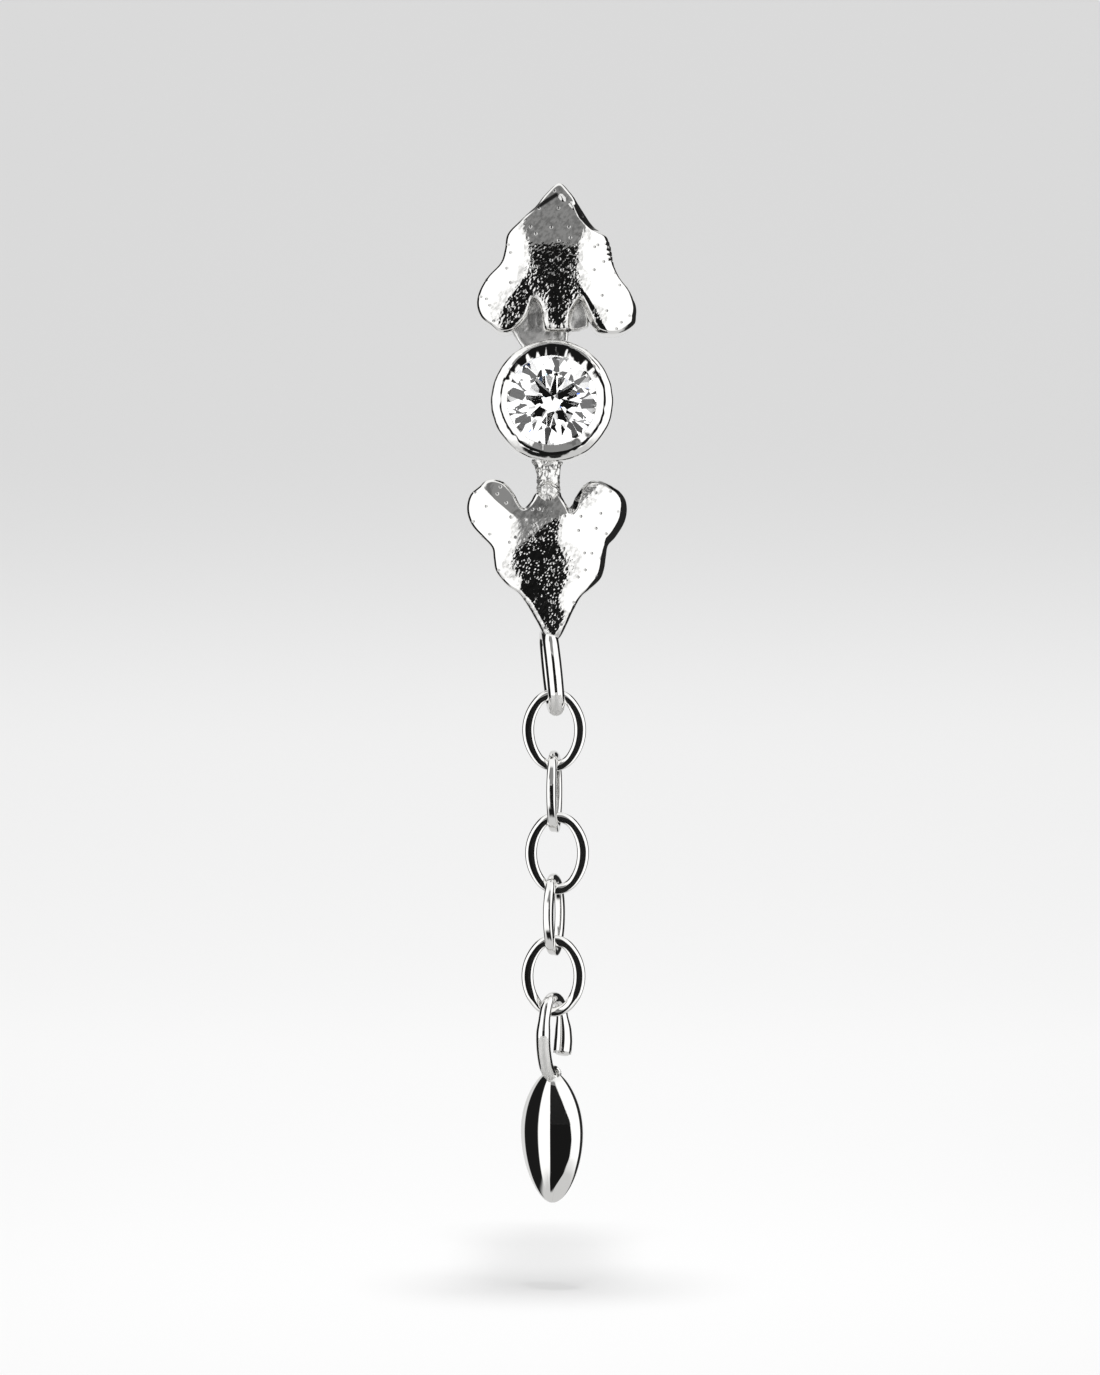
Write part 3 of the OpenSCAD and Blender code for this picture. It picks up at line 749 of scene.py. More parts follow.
def oval_wire(half_w, half_h, wire, end_share, sides=24, square=2.0, side_wire=None, bearing=False):
    """An oval ring of wire in the XZ plane, from four arcs of two radii.

    It can be wider along its sides, and rounder at the lower end, on which the next piece bears.
    """
    end_r, end_z, side_r, half_side = oval_arcs(half_w, half_h, end_share)
    bm = new_mesh()
    edges = start_ring(bm, wire_section(Vector((half_w, 0, 0)), wire / 2, sides, square))
    turns = [
        (Vector((half_w - side_r, 0, 0)), half_side, 10),
        (Vector((0, 0, end_z)), math.pi - 2 * half_side, 26),
        (Vector((side_r - half_w, 0, 0)), 2 * half_side, 20),
        (Vector((0, 0, -end_z)), math.pi - 2 * half_side, 26),
        (Vector((half_w - side_r, 0, 0)), half_side, 10),
    ]
    for pivot, angle, steps in turns:
        edges = bend(bm, edges, pivot, Vector((0, -1, 0)), angle, steps)
    bmesh.ops.remove_doubles(bm, verts=bm.verts, dist=1e-4)
    if side_wire:
        for vert in bm.verts:
            foot = oval_foot(vert.co, half_w, (end_r, end_z, side_r, half_side))
            end = min(1.0, abs(foot.z) / half_h)
            if bearing and foot.z < 0:
                share = float(smooth_step(end, BEARING_FROM, BEARING_FULL))
                reach = wire / 2 * (SQUARE_REACH + (BEARING_REACH - SQUARE_REACH) * share)
                vert.co = foot + (vert.co - foot) * min(1.0, reach / (vert.co - foot).length)
            flat = Vector((vert.co.x, 0, vert.co.z))
            swell = 1 + (side_wire / wire - 1) * max(0.0, 1 - end**2) ** SIDE_FADE
            vert.co.y *= 1 - END_CROWN * end**2 * ((flat - foot).length / (wire / 2)) ** 2
            wide = foot + (flat - foot) * swell
            front = min(1.0, max(0.0, -vert.co.y / (wire / 2) - FRONT_FROM) / FRONT_OVER)
            vert.co.x, vert.co.z = wide.x, wide.z - FRONT_DROP * end * front
    return bm


def turned(profile, steps):
    """A turned shape about the Y axis, from a profile of radius and depth in front of the ear."""
    bm = new_mesh()
    verts = [bm.verts.new(Vector((r, -depth, 0))) for r, depth in profile]
    edges = [bm.edges.new(pair) for pair in zip(verts, verts[1:])]
    bmesh.ops.spin(bm, geom=verts + edges, cent=(0, 0, 0), axis=(0, 1, 0), dvec=(0, 0, 0), angle=2 * math.pi,
                   steps=steps, use_merge=True, use_normal_flip=False, use_duplicate=False)
    bmesh.ops.remove_doubles(bm, verts=bm.verts, dist=1e-4)
    return bm


def rounded(corners, radius, steps=4):
    """A profile with each inner corner cut to an arc-like curve of the given size."""
    out = [Vector(corners[0])]
    for before, corner, after in zip(corners, corners[1:], corners[2:]):
        corner = Vector(corner)
        into = Vector(before) - corner
        away = Vector(after) - corner
        size = min(radius, into.length * 0.45, away.length * 0.45)
        start = corner + into.normalized() * size
        end = corner + away.normalized() * size
        for k in range(steps + 1):
            t = k / steps
            out.append(start * (1 - t) ** 2 + corner * 2 * t * (1 - t) + end * t**2)
    out.append(Vector(corners[-1]))
    return [(p.x, p.y) for p in out]


# The cut stone


def cut(bm, a, b, c):
    """Cuts a solid along the plane of three corners and closes the cut, keeping the stone's middle."""
    normal = (b - a).cross(c - a).normalized()
    # A place well inside the stone, which says which side of the plane stays
    middle = Vector((0, a.y * 0.5 + STONE_HIGH.y * 0.5 - 0.3, 0))
    if normal.dot(middle - a) > 0:
        normal.negate()
    geom = list(bm.verts) + list(bm.edges) + list(bm.faces)
    made = bmesh.ops.bisect_plane(bm, geom=geom, dist=1e-6, plane_co=a, plane_no=normal, clear_outer=True)
    edges = [e for e in made["geom_cut"] if isinstance(e, bmesh.types.BMEdge)]
    if edges:
        bmesh.ops.contextual_create(bm, geom=edges)


def brilliant(s):
    """A round brilliant: a table, 8 star, 8 main and 16 upper facets, a faceted girdle and 24 facets below."""
    half_step = math.pi / 8
    radius = STONE_HIGH.x
    table_r = radius * s.table
    table_y = STONE_LOW.y
    crown_y = table_y + (radius - table_r) * math.tan(s.crown)
    culet_y = STONE_HIGH.y
    girdle_y = culet_y - radius * math.tan(s.pavilion)
    star_r = table_r + (radius - table_r) * STAR_SHARE
    star_y = table_y + (star_r * math.cos(half_step) - table_r) * math.tan(s.crown)
    low_r = radius * LOWER_SHARE
    low_y = culet_y - low_r * math.cos(half_step) * math.tan(s.pavilion)

    def corner(r, step, y):
        return Vector((r * math.sin(step * half_step), y, r * math.cos(step * half_step)))

    bm = new_mesh()
    bmesh.ops.create_cube(bm, size=1.0)
    bmesh.ops.scale(bm, verts=bm.verts, vec=(4, culet_y - table_y + 0.5, 4))
    bmesh.ops.translate(bm, verts=bm.verts, vec=(0, (culet_y + table_y) / 2, 0))
    for step in range(16):
        a = corner(radius, step, crown_y)
        b = corner(radius, step + 1, crown_y)
        cut(bm, a, b, corner(radius, step, girdle_y))
    culet = Vector((0, culet_y, 0))
    for k in range(8):
        table = corner(table_r, 2 * k, table_y)
        star = corner(star_r, 2 * k + 1, star_y)
        low = corner(low_r, 2 * k + 1, low_y)
        cut(bm, table, corner(star_r, 2 * k - 1, star_y), corner(radius, 2 * k, crown_y))
        cut(bm, culet, low, corner(radius, 2 * k, girdle_y))
        cut(bm, table, corner(table_r, 2 * k + 2, table_y), star)
        for side in (0, 2):
            cut(bm, star, corner(radius, 2 * k + side, crown_y), corner(radius, 2 * k + 1, crown_y))
            cut(bm, low, corner(radius, 2 * k + side, girdle_y), corner(radius, 2 * k + 1, girdle_y))
    cut(bm, corner(table_r, 0, table_y), corner(table_r, 2, table_y), corner(table_r, 4, table_y))
    return bm


# Finishes


def feed(socket, value):
    """Links an input to a socket, or sets it to a number or a colour."""
    if isinstance(value, bpy.types.NodeSocket):
        socket.id_data.links.new(value, socket)
    else:
        socket.default_value = value


def add(tree, kind, **values):
    """A node with its properties set by name, and with its inputs set or linked by name."""
    node = tree.nodes.new(kind)
    for key, value in values.items():
        if key.startswith("in_"):
            feed(node.inputs[key[3:].replace("_", " ")], value)
        else:
            setattr(node, key, value)
    return node


def blend(tree, a, b, mask):
    """A value that runs from a to b with a mask."""
    return add(tree, "ShaderNodeMix", data_type="FLOAT", in_A=a, in_B=b, in_Factor=mask).outputs["Result"]


def group(name, inputs, outputs):
    """A shader node group with named values in and out, and its two end nodes."""
    tree = bpy.data.node_groups.new(name, "ShaderNodeTree")
    for label, default in inputs:
        socket = tree.interface.new_socket(label, in_out="INPUT", socket_type="NodeSocketFloat")
        socket.default_value = default
    for label in outputs:
        tree.interface.new_socket(label, in_out="OUTPUT", socket_type="NodeSocketFloat")
    return tree, tree.nodes.new("NodeGroupInput"), tree.nodes.new("NodeGroupOutput")


def math_node(tree, operation, a, b):
    """A math node between sockets or numbers."""
    node = add(tree, "ShaderNodeMath", operation=operation)
    feed(node.inputs[0], a)
    feed(node.inputs[1], b)
    return node.outputs[0]


def times(tree, a, b):
    """The product of two sockets or numbers."""
    return math_node(tree, "MULTIPLY", a, b)


def rest_of(tree, value):
    """What is left of one after a value is taken off."""
    return math_node(tree, "SUBTRACT", 1.0, value)


def ramp_node(tree, value, low, high):
    """A smooth step from 0 at one value to 1 at another."""
    node = add(tree, "ShaderNodeMapRange", interpolation_type="SMOOTHSTEP", in_From_Min=low, in_From_Max=high,
               in_Value=value)
    return node.outputs["Result"]


def parts_of(tree, vector):
    """The three parts of a place."""
    return add(tree, "ShaderNodeSeparateXYZ", in_Vector=vector).outputs


def faced(tree, vector):
    """A place as it is seen from the front, for a flat pattern."""
    parts = parts_of(tree, vector)
    return add(tree, "ShaderNodeCombineXYZ", in_X=parts["X"], in_Y=parts["Z"]).outputs["Vector"]


def cast_grain():
    """The grain of a cast and polished face: fine scratchy grain, bright flecks, open pits and darker clouds."""
    name = "Cast Grain"
    if name in bpy.data.node_groups:
        return bpy.data.node_groups[name]
    tree, start, end = group(name, [("Grain Size", 0.06), ("Grain", 1.0), ("Flecks", 0.0), ("Pits", 1.0)],
                             ["Height", "Roughness", "Tone"])
    grain, spots = start.outputs["Grain"], start.outputs["Flecks"]
    coords = add(tree, "ShaderNodeTexCoord").outputs["Object"]
    in_mm = add(tree, "ShaderNodeMapping", in_Scale=(1 / MM, 1 / MM, 1 / MM), in_Vector=coords).outputs["Vector"]
    slant = add(tree, "ShaderNodeMapping", vector_type="TEXTURE", in_Rotation=(0, GRAIN_SLANT, 0),
                in_Scale=(1.0, 1.0, GRAIN_STRETCH), in_Vector=in_mm).outputs["Vector"]
    scale = math_node(tree, "DIVIDE", 1.0, start.outputs["Grain Size"])
    fine = add(tree, "ShaderNodeTexNoise", in_Detail=0.6, in_Roughness=0.5, in_Vector=slant, in_Scale=scale)
    broad = add(tree, "ShaderNodeTexNoise", in_Scale=1.3, in_Detail=2.0, in_Vector=in_mm)

    # A few open pits
    pits = add(tree, "ShaderNodeTexVoronoi", voronoi_dimensions="2D", in_Scale=2.1, in_Randomness=1.0,
               in_Vector=faced(tree, in_mm))
    pit = rest_of(tree, ramp_node(tree, pits.outputs["Distance"], 0.05, 0.11))
    pit = times(tree, pit, start.outputs["Pits"])

    # Bright flecks, each a small flat that leans to one side
    face = faced(tree, slant)
    flecks = add(tree, "ShaderNodeTexVoronoi", voronoi_dimensions="2D", in_Scale=12.0, in_Randomness=1.0,
                 in_Vector=face)
    fleck = rest_of(tree, ramp_node(tree, flecks.outputs["Distance"], 0.12, 0.22))
    lean = math_node(tree, "SUBTRACT", parts_of(tree, face)["X"], parts_of(tree, flecks.outputs["Position"])["X"])
    fleck = times(tree, fleck, times(tree, lean, FLECK_LEAN))
    chance = add(tree, "ShaderNodeSeparateColor", in_Color=flecks.outputs["Color"])
    chosen = math_node(tree, "GREATER_THAN", chance.outputs["Red"], 0.5)
    chosen = times(tree, chosen, ramp_node(tree, grain, 0.7, 1.15))
    fleck = times(tree, times(tree, fleck, chosen), spots)

    rise = times(tree, math_node(tree, "ADD", fine.outputs["Fac"], fleck), grain)
    feed(end.inputs["Height"], math_node(tree, "SUBTRACT", rise, times(tree, pit, 0.5)))
    patch = ramp_node(tree, broad.outputs["Fac"], 0.4, 0.65)
    feed(end.inputs["Roughness"], math_node(tree, "ADD", times(tree, patch, 0.5), times(tree, pit, 4.0)))

    # Clouds of darker metal
    cloud = add(tree, "ShaderNodeTexNoise", in_Scale=11.0, in_Detail=2.5, in_Roughness=0.6, in_Vector=slant)
    clouded = times(tree, ramp_node(tree, cloud.outputs["Fac"], 0.36, 0.68), ramp_node(tree, grain, 0.08, 0.15))
    clouded = times(tree, clouded, times(tree, spots, CLOUD_TONE))
    shade = math_node(tree, "ADD", clouded, times(tree, pit, PIT_TONE))
    feed(end.inputs["Tone"], rest_of(tree, shade))
    return tree


def principled(name, **values):
    """A new material with the inputs of its shader set by name, and that shader."""
    material = bpy.data.materials.new(name)
    material.use_nodes = True
    shader = material.node_tree.nodes["Principled BSDF"]
    for key, value in values.items():
        shader.inputs[key.replace("_", " ")].default_value = value
    return material, shader


def grey(tone):
    """A grey as a colour."""
    return (tone, tone, tone, 1)


def silver(name, colour, polish, grain_size, grain, flecks, pits, depth_mm):
    """Polished silver with a cast grain of the given size and depth, as rough as its piece's grain mask says."""
    material, shader = principled(name, Metallic=1.0)
    tree = material.node_tree
    grain_node = add(tree, "ShaderNodeGroup", node_tree=cast_grain(), in_Grain_Size=grain_size, in_Grain=grain,
                     in_Flecks=flecks, in_Pits=pits)
    shade = grain_node.outputs["Tone"]
    if flecks:
        mask = add(tree, "ShaderNodeAttribute", attribute_name=GRAIN).outputs["Fac"]
        feed(grain_node.inputs["Grain"], times(tree, mask, grain))
        # On a leaf, its painted dark reflection darkens the colour along its dark lines
        dark = add(tree, "ShaderNodeAttribute", attribute_name=PAINTED_DARK).outputs["Fac"]
        shade = times(tree, shade, rest_of(tree, dark))
    tone = add(tree, "ShaderNodeMix", data_type="RGBA", blend_type="MIX", in_A=(*[c * DARK_SHARE for c in colour], 1),
               in_B=(*colour, 1), in_Factor=shade)
    feed(shader.inputs["Base Color"], tone.outputs["Result"])
    rough = times(tree, grain_node.outputs["Roughness"], polish)
    feed(shader.inputs["Roughness"], math_node(tree, "ADD", rough, polish))
    bump = add(tree, "ShaderNodeBump", in_Strength=1.0, in_Distance=depth_mm * MM,
               in_Height=grain_node.outputs["Height"])
    feed(shader.inputs["Normal"], bump.outputs["Normal"])
    return material


def clear_stone(index):
    """Clear, colourless cut stone."""
    principled("cut stone", Transmission_Weight=1.0, Roughness=0.0, IOR=index)


def finishes(context):
    """The earring's finishes by name, made once."""
    s = context.scene.earring_silver
    for name, (rough, size, grain, flecks, pits, depth) in SILVERS.items():
        if name not in bpy.data.materials:
            silver(name, tuple(s.colour), s.polish * rough, size, grain, flecks, pits, depth)
    if "cut stone" not in bpy.data.materials:
        clear_stone(context.scene.earring_stone.index)
    return bpy.data.materials


# The pieces


class EARRING_OT_leaves(bpy.types.Operator):
    """Model the two cast leaves"""

    bl_idname = "earring.leaves"
    bl_label = "Cast Leaves"

    def execute(self, context):
        s = context.scene.earring_leaf
        material = finishes(context)["cast silver"]
        for name, knots, middle, form in (
            ("upper_leaf", UPPER_EDGE, UPPER_MIDDLE, UPPER_FORM),
            ("lower_leaf", LOWER_EDGE, LOWER_MIDDLE, LOWER_FORM),
        ):
            bm = leaf_mesh(knots, middle, form, s)
            finish(bm, name, STUD_BODY, "leaf_front", material)
        return {"FINISHED"}


class EARRING_OT_solder(bpy.types.Operator):
    """Model the metal run in between the leaves and the cup"""

    bl_idname = "earring.solder"
    bl_label = "Solder"

    def execute(self, context):
        material = finishes(context)["solder silver"]
        bm = new_mesh()
        rings = [[Vector((x, depth, z)) for x, z in WEB_EDGE] for depth in WEB_DEPTHS]
        edges = start_ring(bm, rings[0])
        for ring in rings[1:]:
            edges = grow_ring(bm, edges, ring)
        bmesh.ops.holes_fill(bm, edges=bm.edges, sides=0)
        bmesh.ops.recalc_face_normals(bm, faces=bm.faces)
        bm = fused(bm, voxel=0.03, rounds=8)
        roughen(bm, size=0.35, depth=0.03, seed=2.0)
        finish(bm, "upper_solder", STUD_BODY, "leaf_front", material)

        bm = new_mesh()
        for low_r, high_r, length, place in RUN_CONES:
            bmesh.ops.create_cone(bm, cap_ends=True, segments=32, radius1=low_r, radius2=high_r, depth=length,
                                  matrix=Matrix.Translation(place))
        bmesh.ops.create_icosphere(bm, subdivisions=3, radius=RUN_DROP_R, matrix=Matrix.Translation(RUN_DROP_PLACE))
        bm = fused(bm, voxel=0.02, rounds=6)
        roughen(bm, size=0.2, depth=0.03, seed=5.0)
        roughen(bm, size=0.09, depth=0.035, seed=6.0)
        finish(bm, "lower_solder", STUD_BODY, "leaf_front", material)
        return {"FINISHED"}


def brow_share(turn):
    """How much of its extra height the cup's mouth has at a turn round the cup: none at the top, most beside it."""
    off = abs(math.degrees(math.atan2(math.cos(turn), math.sin(turn))))
    return float(np.interp(off, BROW_TURNS, (0.0, 1.0, 1.0, 0.0)))


class EARRING_OT_cup(bpy.types.Operator):
    """Model the stone's cup with its rim rubbed over the stone"""

    bl_idname = "earring.cup"
    bl_label = "Stone Cup"

    def execute(self, context):
        s = context.scene.earring_cup
        front = -STONE_LOW.y
        rim_depth = front - RIM_BEHIND
        radius = s.diameter / 2
        crest = s.crest / 2
        mouth = s.mouth / 2
        # The cup's section, from the middle of its back out, over the rim and down into the stone's seat
        corners = [
            (0.0, 0.0), (radius - 0.1, 0.0), (radius, 0.1), (radius, rim_depth - 0.22),
            (radius - 0.03, rim_depth - 0.125),
            (radius - 0.08, rim_depth - 0.08), (radius - 0.14, rim_depth - 0.04), (crest + 0.05, rim_depth - 0.01),
            (crest, rim_depth), (crest - 0.045, rim_depth - 0.002), (mouth, rim_depth - 0.07),
            (mouth + 0.01, rim_depth - 0.18), (STONE_HIGH.x + 0.03, rim_depth - 0.2), (STONE_HIGH.x + 0.03, 1.3),
            (0.12, 0.26), (0.0, 0.26),
        ]
        bm = turned(rounded(corners, 0.02), s.steps)
        for vert in bm.verts:
            turn = math.atan2(vert.co.z, vert.co.x)
            r = math.hypot(vert.co.x, vert.co.z)
            if -vert.co.y > rim_depth - 0.6 and r > mouth - 0.02:
                around = Vector((math.cos(turn), math.sin(turn), 0))
                wave, lump, small = (noise.noise(around * pitch + Vector((0, 0, seed + r * drift)))
                                     for pitch, seed, drift in RIM_NOISES)
                shift = RIM_WAVE * wave + RIM_LUMP * lump * (r > crest - 0.12)
                vert.co.x *= 1 + shift / r
                vert.co.z *= 1 + shift / r
                near_crest = math.exp(-(((r - crest) / CREST_WIDTH) ** 2))
                vert.co.x += s.crest_shift * near_crest
                vert.co.z += s.crest_rise * near_crest * max(0.0, math.sin(turn)) ** 1.2
                vert.co.y += RIM_DEEPER + RIM_DEEPER * lump + RIM_DENT * small
                inner = min(1.0, max(0.0, (crest - r) / (crest - mouth)))
                vert.co.y -= s.brow * inner * brow_share(turn)
                for across, up, size, height in RIM_BURRS:
                    away = (vert.co.x - across) ** 2 + (vert.co.z - up) ** 2
                    vert.co.y -= height * math.exp(-away / size**2)
        finish(bm, "stone_cup", STUD_BODY, "leaf_front", finishes(context)["rim silver"])
        return {"FINISHED"}


class EARRING_OT_stone(bpy.types.Operator):
    """Cut the round stone, facet by facet"""

    bl_idname = "earring.stone"
    bl_label = "Round Stone"

    def execute(self, context):
        s = context.scene.earring_stone
        bm = brilliant(s)
        middle = (STONE_LOW + STONE_HIGH) / 2
        turn = Matrix.Rotation(s.tilt, 3, Vector((0.6, 0, 0.8))) @ Matrix.Rotation(s.turn, 3, "Y")
        bmesh.ops.rotate(bm, verts=bm.verts, cent=middle, matrix=turn)
        bmesh.ops.translate(bm, verts=bm.verts, vec=(0, STONE_HIGH.x * math.sin(s.tilt) * 0.7, 0))
        finish(bm, "cut_stone", STUD_BODY, "round_stone", finishes(context)["cut stone"], smooth=False)
        return {"FINISHED"}


class EARRING_OT_chain(bpy.types.Operator):
    """Bend the leaf's ring and the chain's links"""

    bl_idname = "earring.chain"
    bl_label = "Chain"

    def execute(self, context):
        s = context.scene.earring_chain
        materials = finishes(context)
        link_half = ((s.link_w - s.side_wire) / 2, (s.link_h - s.wire) / 2)
        for number, (name, yaw) in enumerate(zip(LINKS, LINK_YAWS)):
            low, high = box_mm(name)
            middle = (low + high) / 2
            bm = oval_wire(*link_half, s.wire, s.end_share, sides=32, square=4.0, side_wire=s.side_wire,
                           bearing=name == LINKS[-1])
            turn = Matrix.Translation(middle) @ Matrix.Rotation(math.radians(yaw), 4, "Z")
            bmesh.ops.transform(bm, verts=bm.verts, matrix=turn)
            finish(bm, f"link_{number + 1}", STUD_BODY, name, materials["chain silver"])
        bm = oval_wire(*RING_HALF, s.ring_wire, RING_END_SHARE)
        turn = (Matrix.Translation(RING_PLACE) @ Matrix.Rotation(RING_LEAN, 4, "Y")
                @ Matrix.Rotation(math.radians(90) + RING_YAW, 4, "Z"))
        bmesh.ops.transform(bm, verts=bm.verts, matrix=turn)
        ring = finish(bm, "leaf_ring", STUD_BODY, "leaf_front", materials["chain silver"])
        wear(ring, materials["worn silver"], RING_PLACE[2] - RING_WEAR, DROP_DEPTH)
        return {"FINISHED"}


class EARRING_OT_drop(bpy.types.Operator):
    """Model the marquise drop and its hook"""

    bl_idname = "earring.drop"
    bl_label = "Marquise Drop"

    def execute(self, context):
        s = context.scene.earring_drop
        material = finishes(context)["drop silver"]
        top = DROP_LOW.z + s.height
        drop = new_mesh()
        loft(drop, marquise_rows(s, Vector((0, DROP_DEPTH, top))))
        finish(drop, "marquise", DROP_BODY, "marquise_drop", material)

        half_w, half_h = HOOK_HALF
        end_r, end_z, side_r, half_side = oval_arcs(half_w, half_h, HOOK_END_SHARE)
        far = Vector((half_w - side_r, 0, 0))
        start_turn = math.asin((half_h - HOOK_OPEN) / side_r)
        back = Matrix.Translation(far) @ Matrix.Rotation(start_turn, 4, "Y") @ Matrix.Translation(-far)
        bm = new_mesh()
        section = wire_section(Vector((half_w, 0, 0)), s.hook_wire / 2, 24)
        edges = start_ring(bm, [back @ p for p in section])
        for pivot, angle, steps in (
            (far, start_turn + half_side, 24),
            (Vector((0, 0, end_z)), math.pi - 2 * half_side, 32),
            (-far, 2 * half_side, 28),
            (Vector((0, 0, -end_z)), HOOK_FOOT_TURN, 20),
        ):
            edges = bend(bm, edges, pivot, Vector((0, -1, 0)), angle, steps)
        for vert in bm.verts:
            if vert.co.x > 0 and vert.co.z < HOOK_SWELL_FROM:
                foot = far + (Vector((vert.co.x, 0, vert.co.z)) - far).normalized() * side_r
                share = min(1.0, (HOOK_SWELL_FROM - vert.co.z) / HOOK_SWELL_OVER)
                vert.co = foot + (vert.co - foot) * (1 + s.end_swell * share)
            foot = oval_foot(vert.co, half_w, (end_r, end_z, side_r, half_side))
            slim = HOOK_SLIM * smooth_step(vert.co.z, HOOK_SLIM_FROM, HOOK_SLIM_FROM + HOOK_SLIM_OVER)
            vert.co = foot + (vert.co - foot) * (1 - float(slim))
        bmesh.ops.holes_fill(bm, edges=bm.edges, sides=0)
        rim = [e for e in bm.edges if len(e.link_faces) == 2 and any(len(f.verts) > 8 for f in e.link_faces)]
        bmesh.ops.bevel(bm, geom=rim, offset=HOOK_END_ROUNDING, offset_type="OFFSET", segments=4, profile=0.5,
                        affect="EDGES", material=-1)
        turn = (Matrix.Translation((HOOK_OFF, DROP_DEPTH, top + half_h - DROP_OVERLAP))
                @ Matrix.Rotation(math.radians(90) - HOOK_YAW, 4, "Z"))
        bmesh.ops.transform(bm, verts=bm.verts, matrix=turn)
        hook = finish(bm, "drop_hook", DROP_BODY, "marquise_drop", material)
        wear(hook, finishes(context)["worn silver"], top + half_h - DROP_OVERLAP + HOOK_WEAR, DROP_DEPTH)
        return {"FINISHED"}


def marquise_rows(s, top):
    """Rows of places round the marquise, from its top to its foot."""
    section = through(DROP_SECTION, 6)
    down_places, creases = columns(DROP_CREASE)
    front = DROP_SECTION[-1][0]
    rows = []
    for k in range(1, DROP_ROWS):
        down = (1 - math.cos(k * math.pi / DROP_ROWS)) / 2
        share = math.sin(math.pi * down**DROP_SAG) ** (DROP_TOP_SWELL if down < 0.5 else DROP_FOOT_SWELL)
        crease = np.interp(down, down_places, creases)
        row = []
        for p in section:
            across = p.x
            if p.y > 0.2 and p.x > front:
                across = float(np.interp(p.x, [front, CREASE_ACROSS, 1.0], [front, crease, 1.0]))
            row.append(top + Vector((across * s.width / 2 * share, -p.y * s.thickness / 2 * share,
                                     -down * s.height)))
        rows.append(row)
    return rows


class EARRING_OT_flat_back(bpy.types.Operator):
    """Turn the post and its flat disc"""

    bl_idname = "earring.flat_back"
    bl_label = "Flat Back"

    def execute(self, context):
        disc_r = POST_HIGH.x
        start = POST_LOW.y
        end = POST_HIGH.y
        disc_y = end - DISC_THICKNESS
        corners = [(0.0, -start), (POST_R, -start), (POST_R, -disc_y), (disc_r, -disc_y), (disc_r, -end), (0.0, -end)]
        bm = turned(rounded(corners, BACK_ROUNDING), BACK_STEPS)
        finish(bm, "post_and_disc", STUD_BODY, "flat_back_post", finishes(context)["post silver"])
        return {"FINISHED"}


def stage_mesh(context, bm, name):
    """An object of the studio from a mesh, which it uses up."""
    mesh = bpy.data.meshes.new(name)
    bm.to_mesh(mesh)
    bm.free()
    made = bpy.data.objects.new(name, mesh)
    context.scene.collection.objects.link(made)
    return made


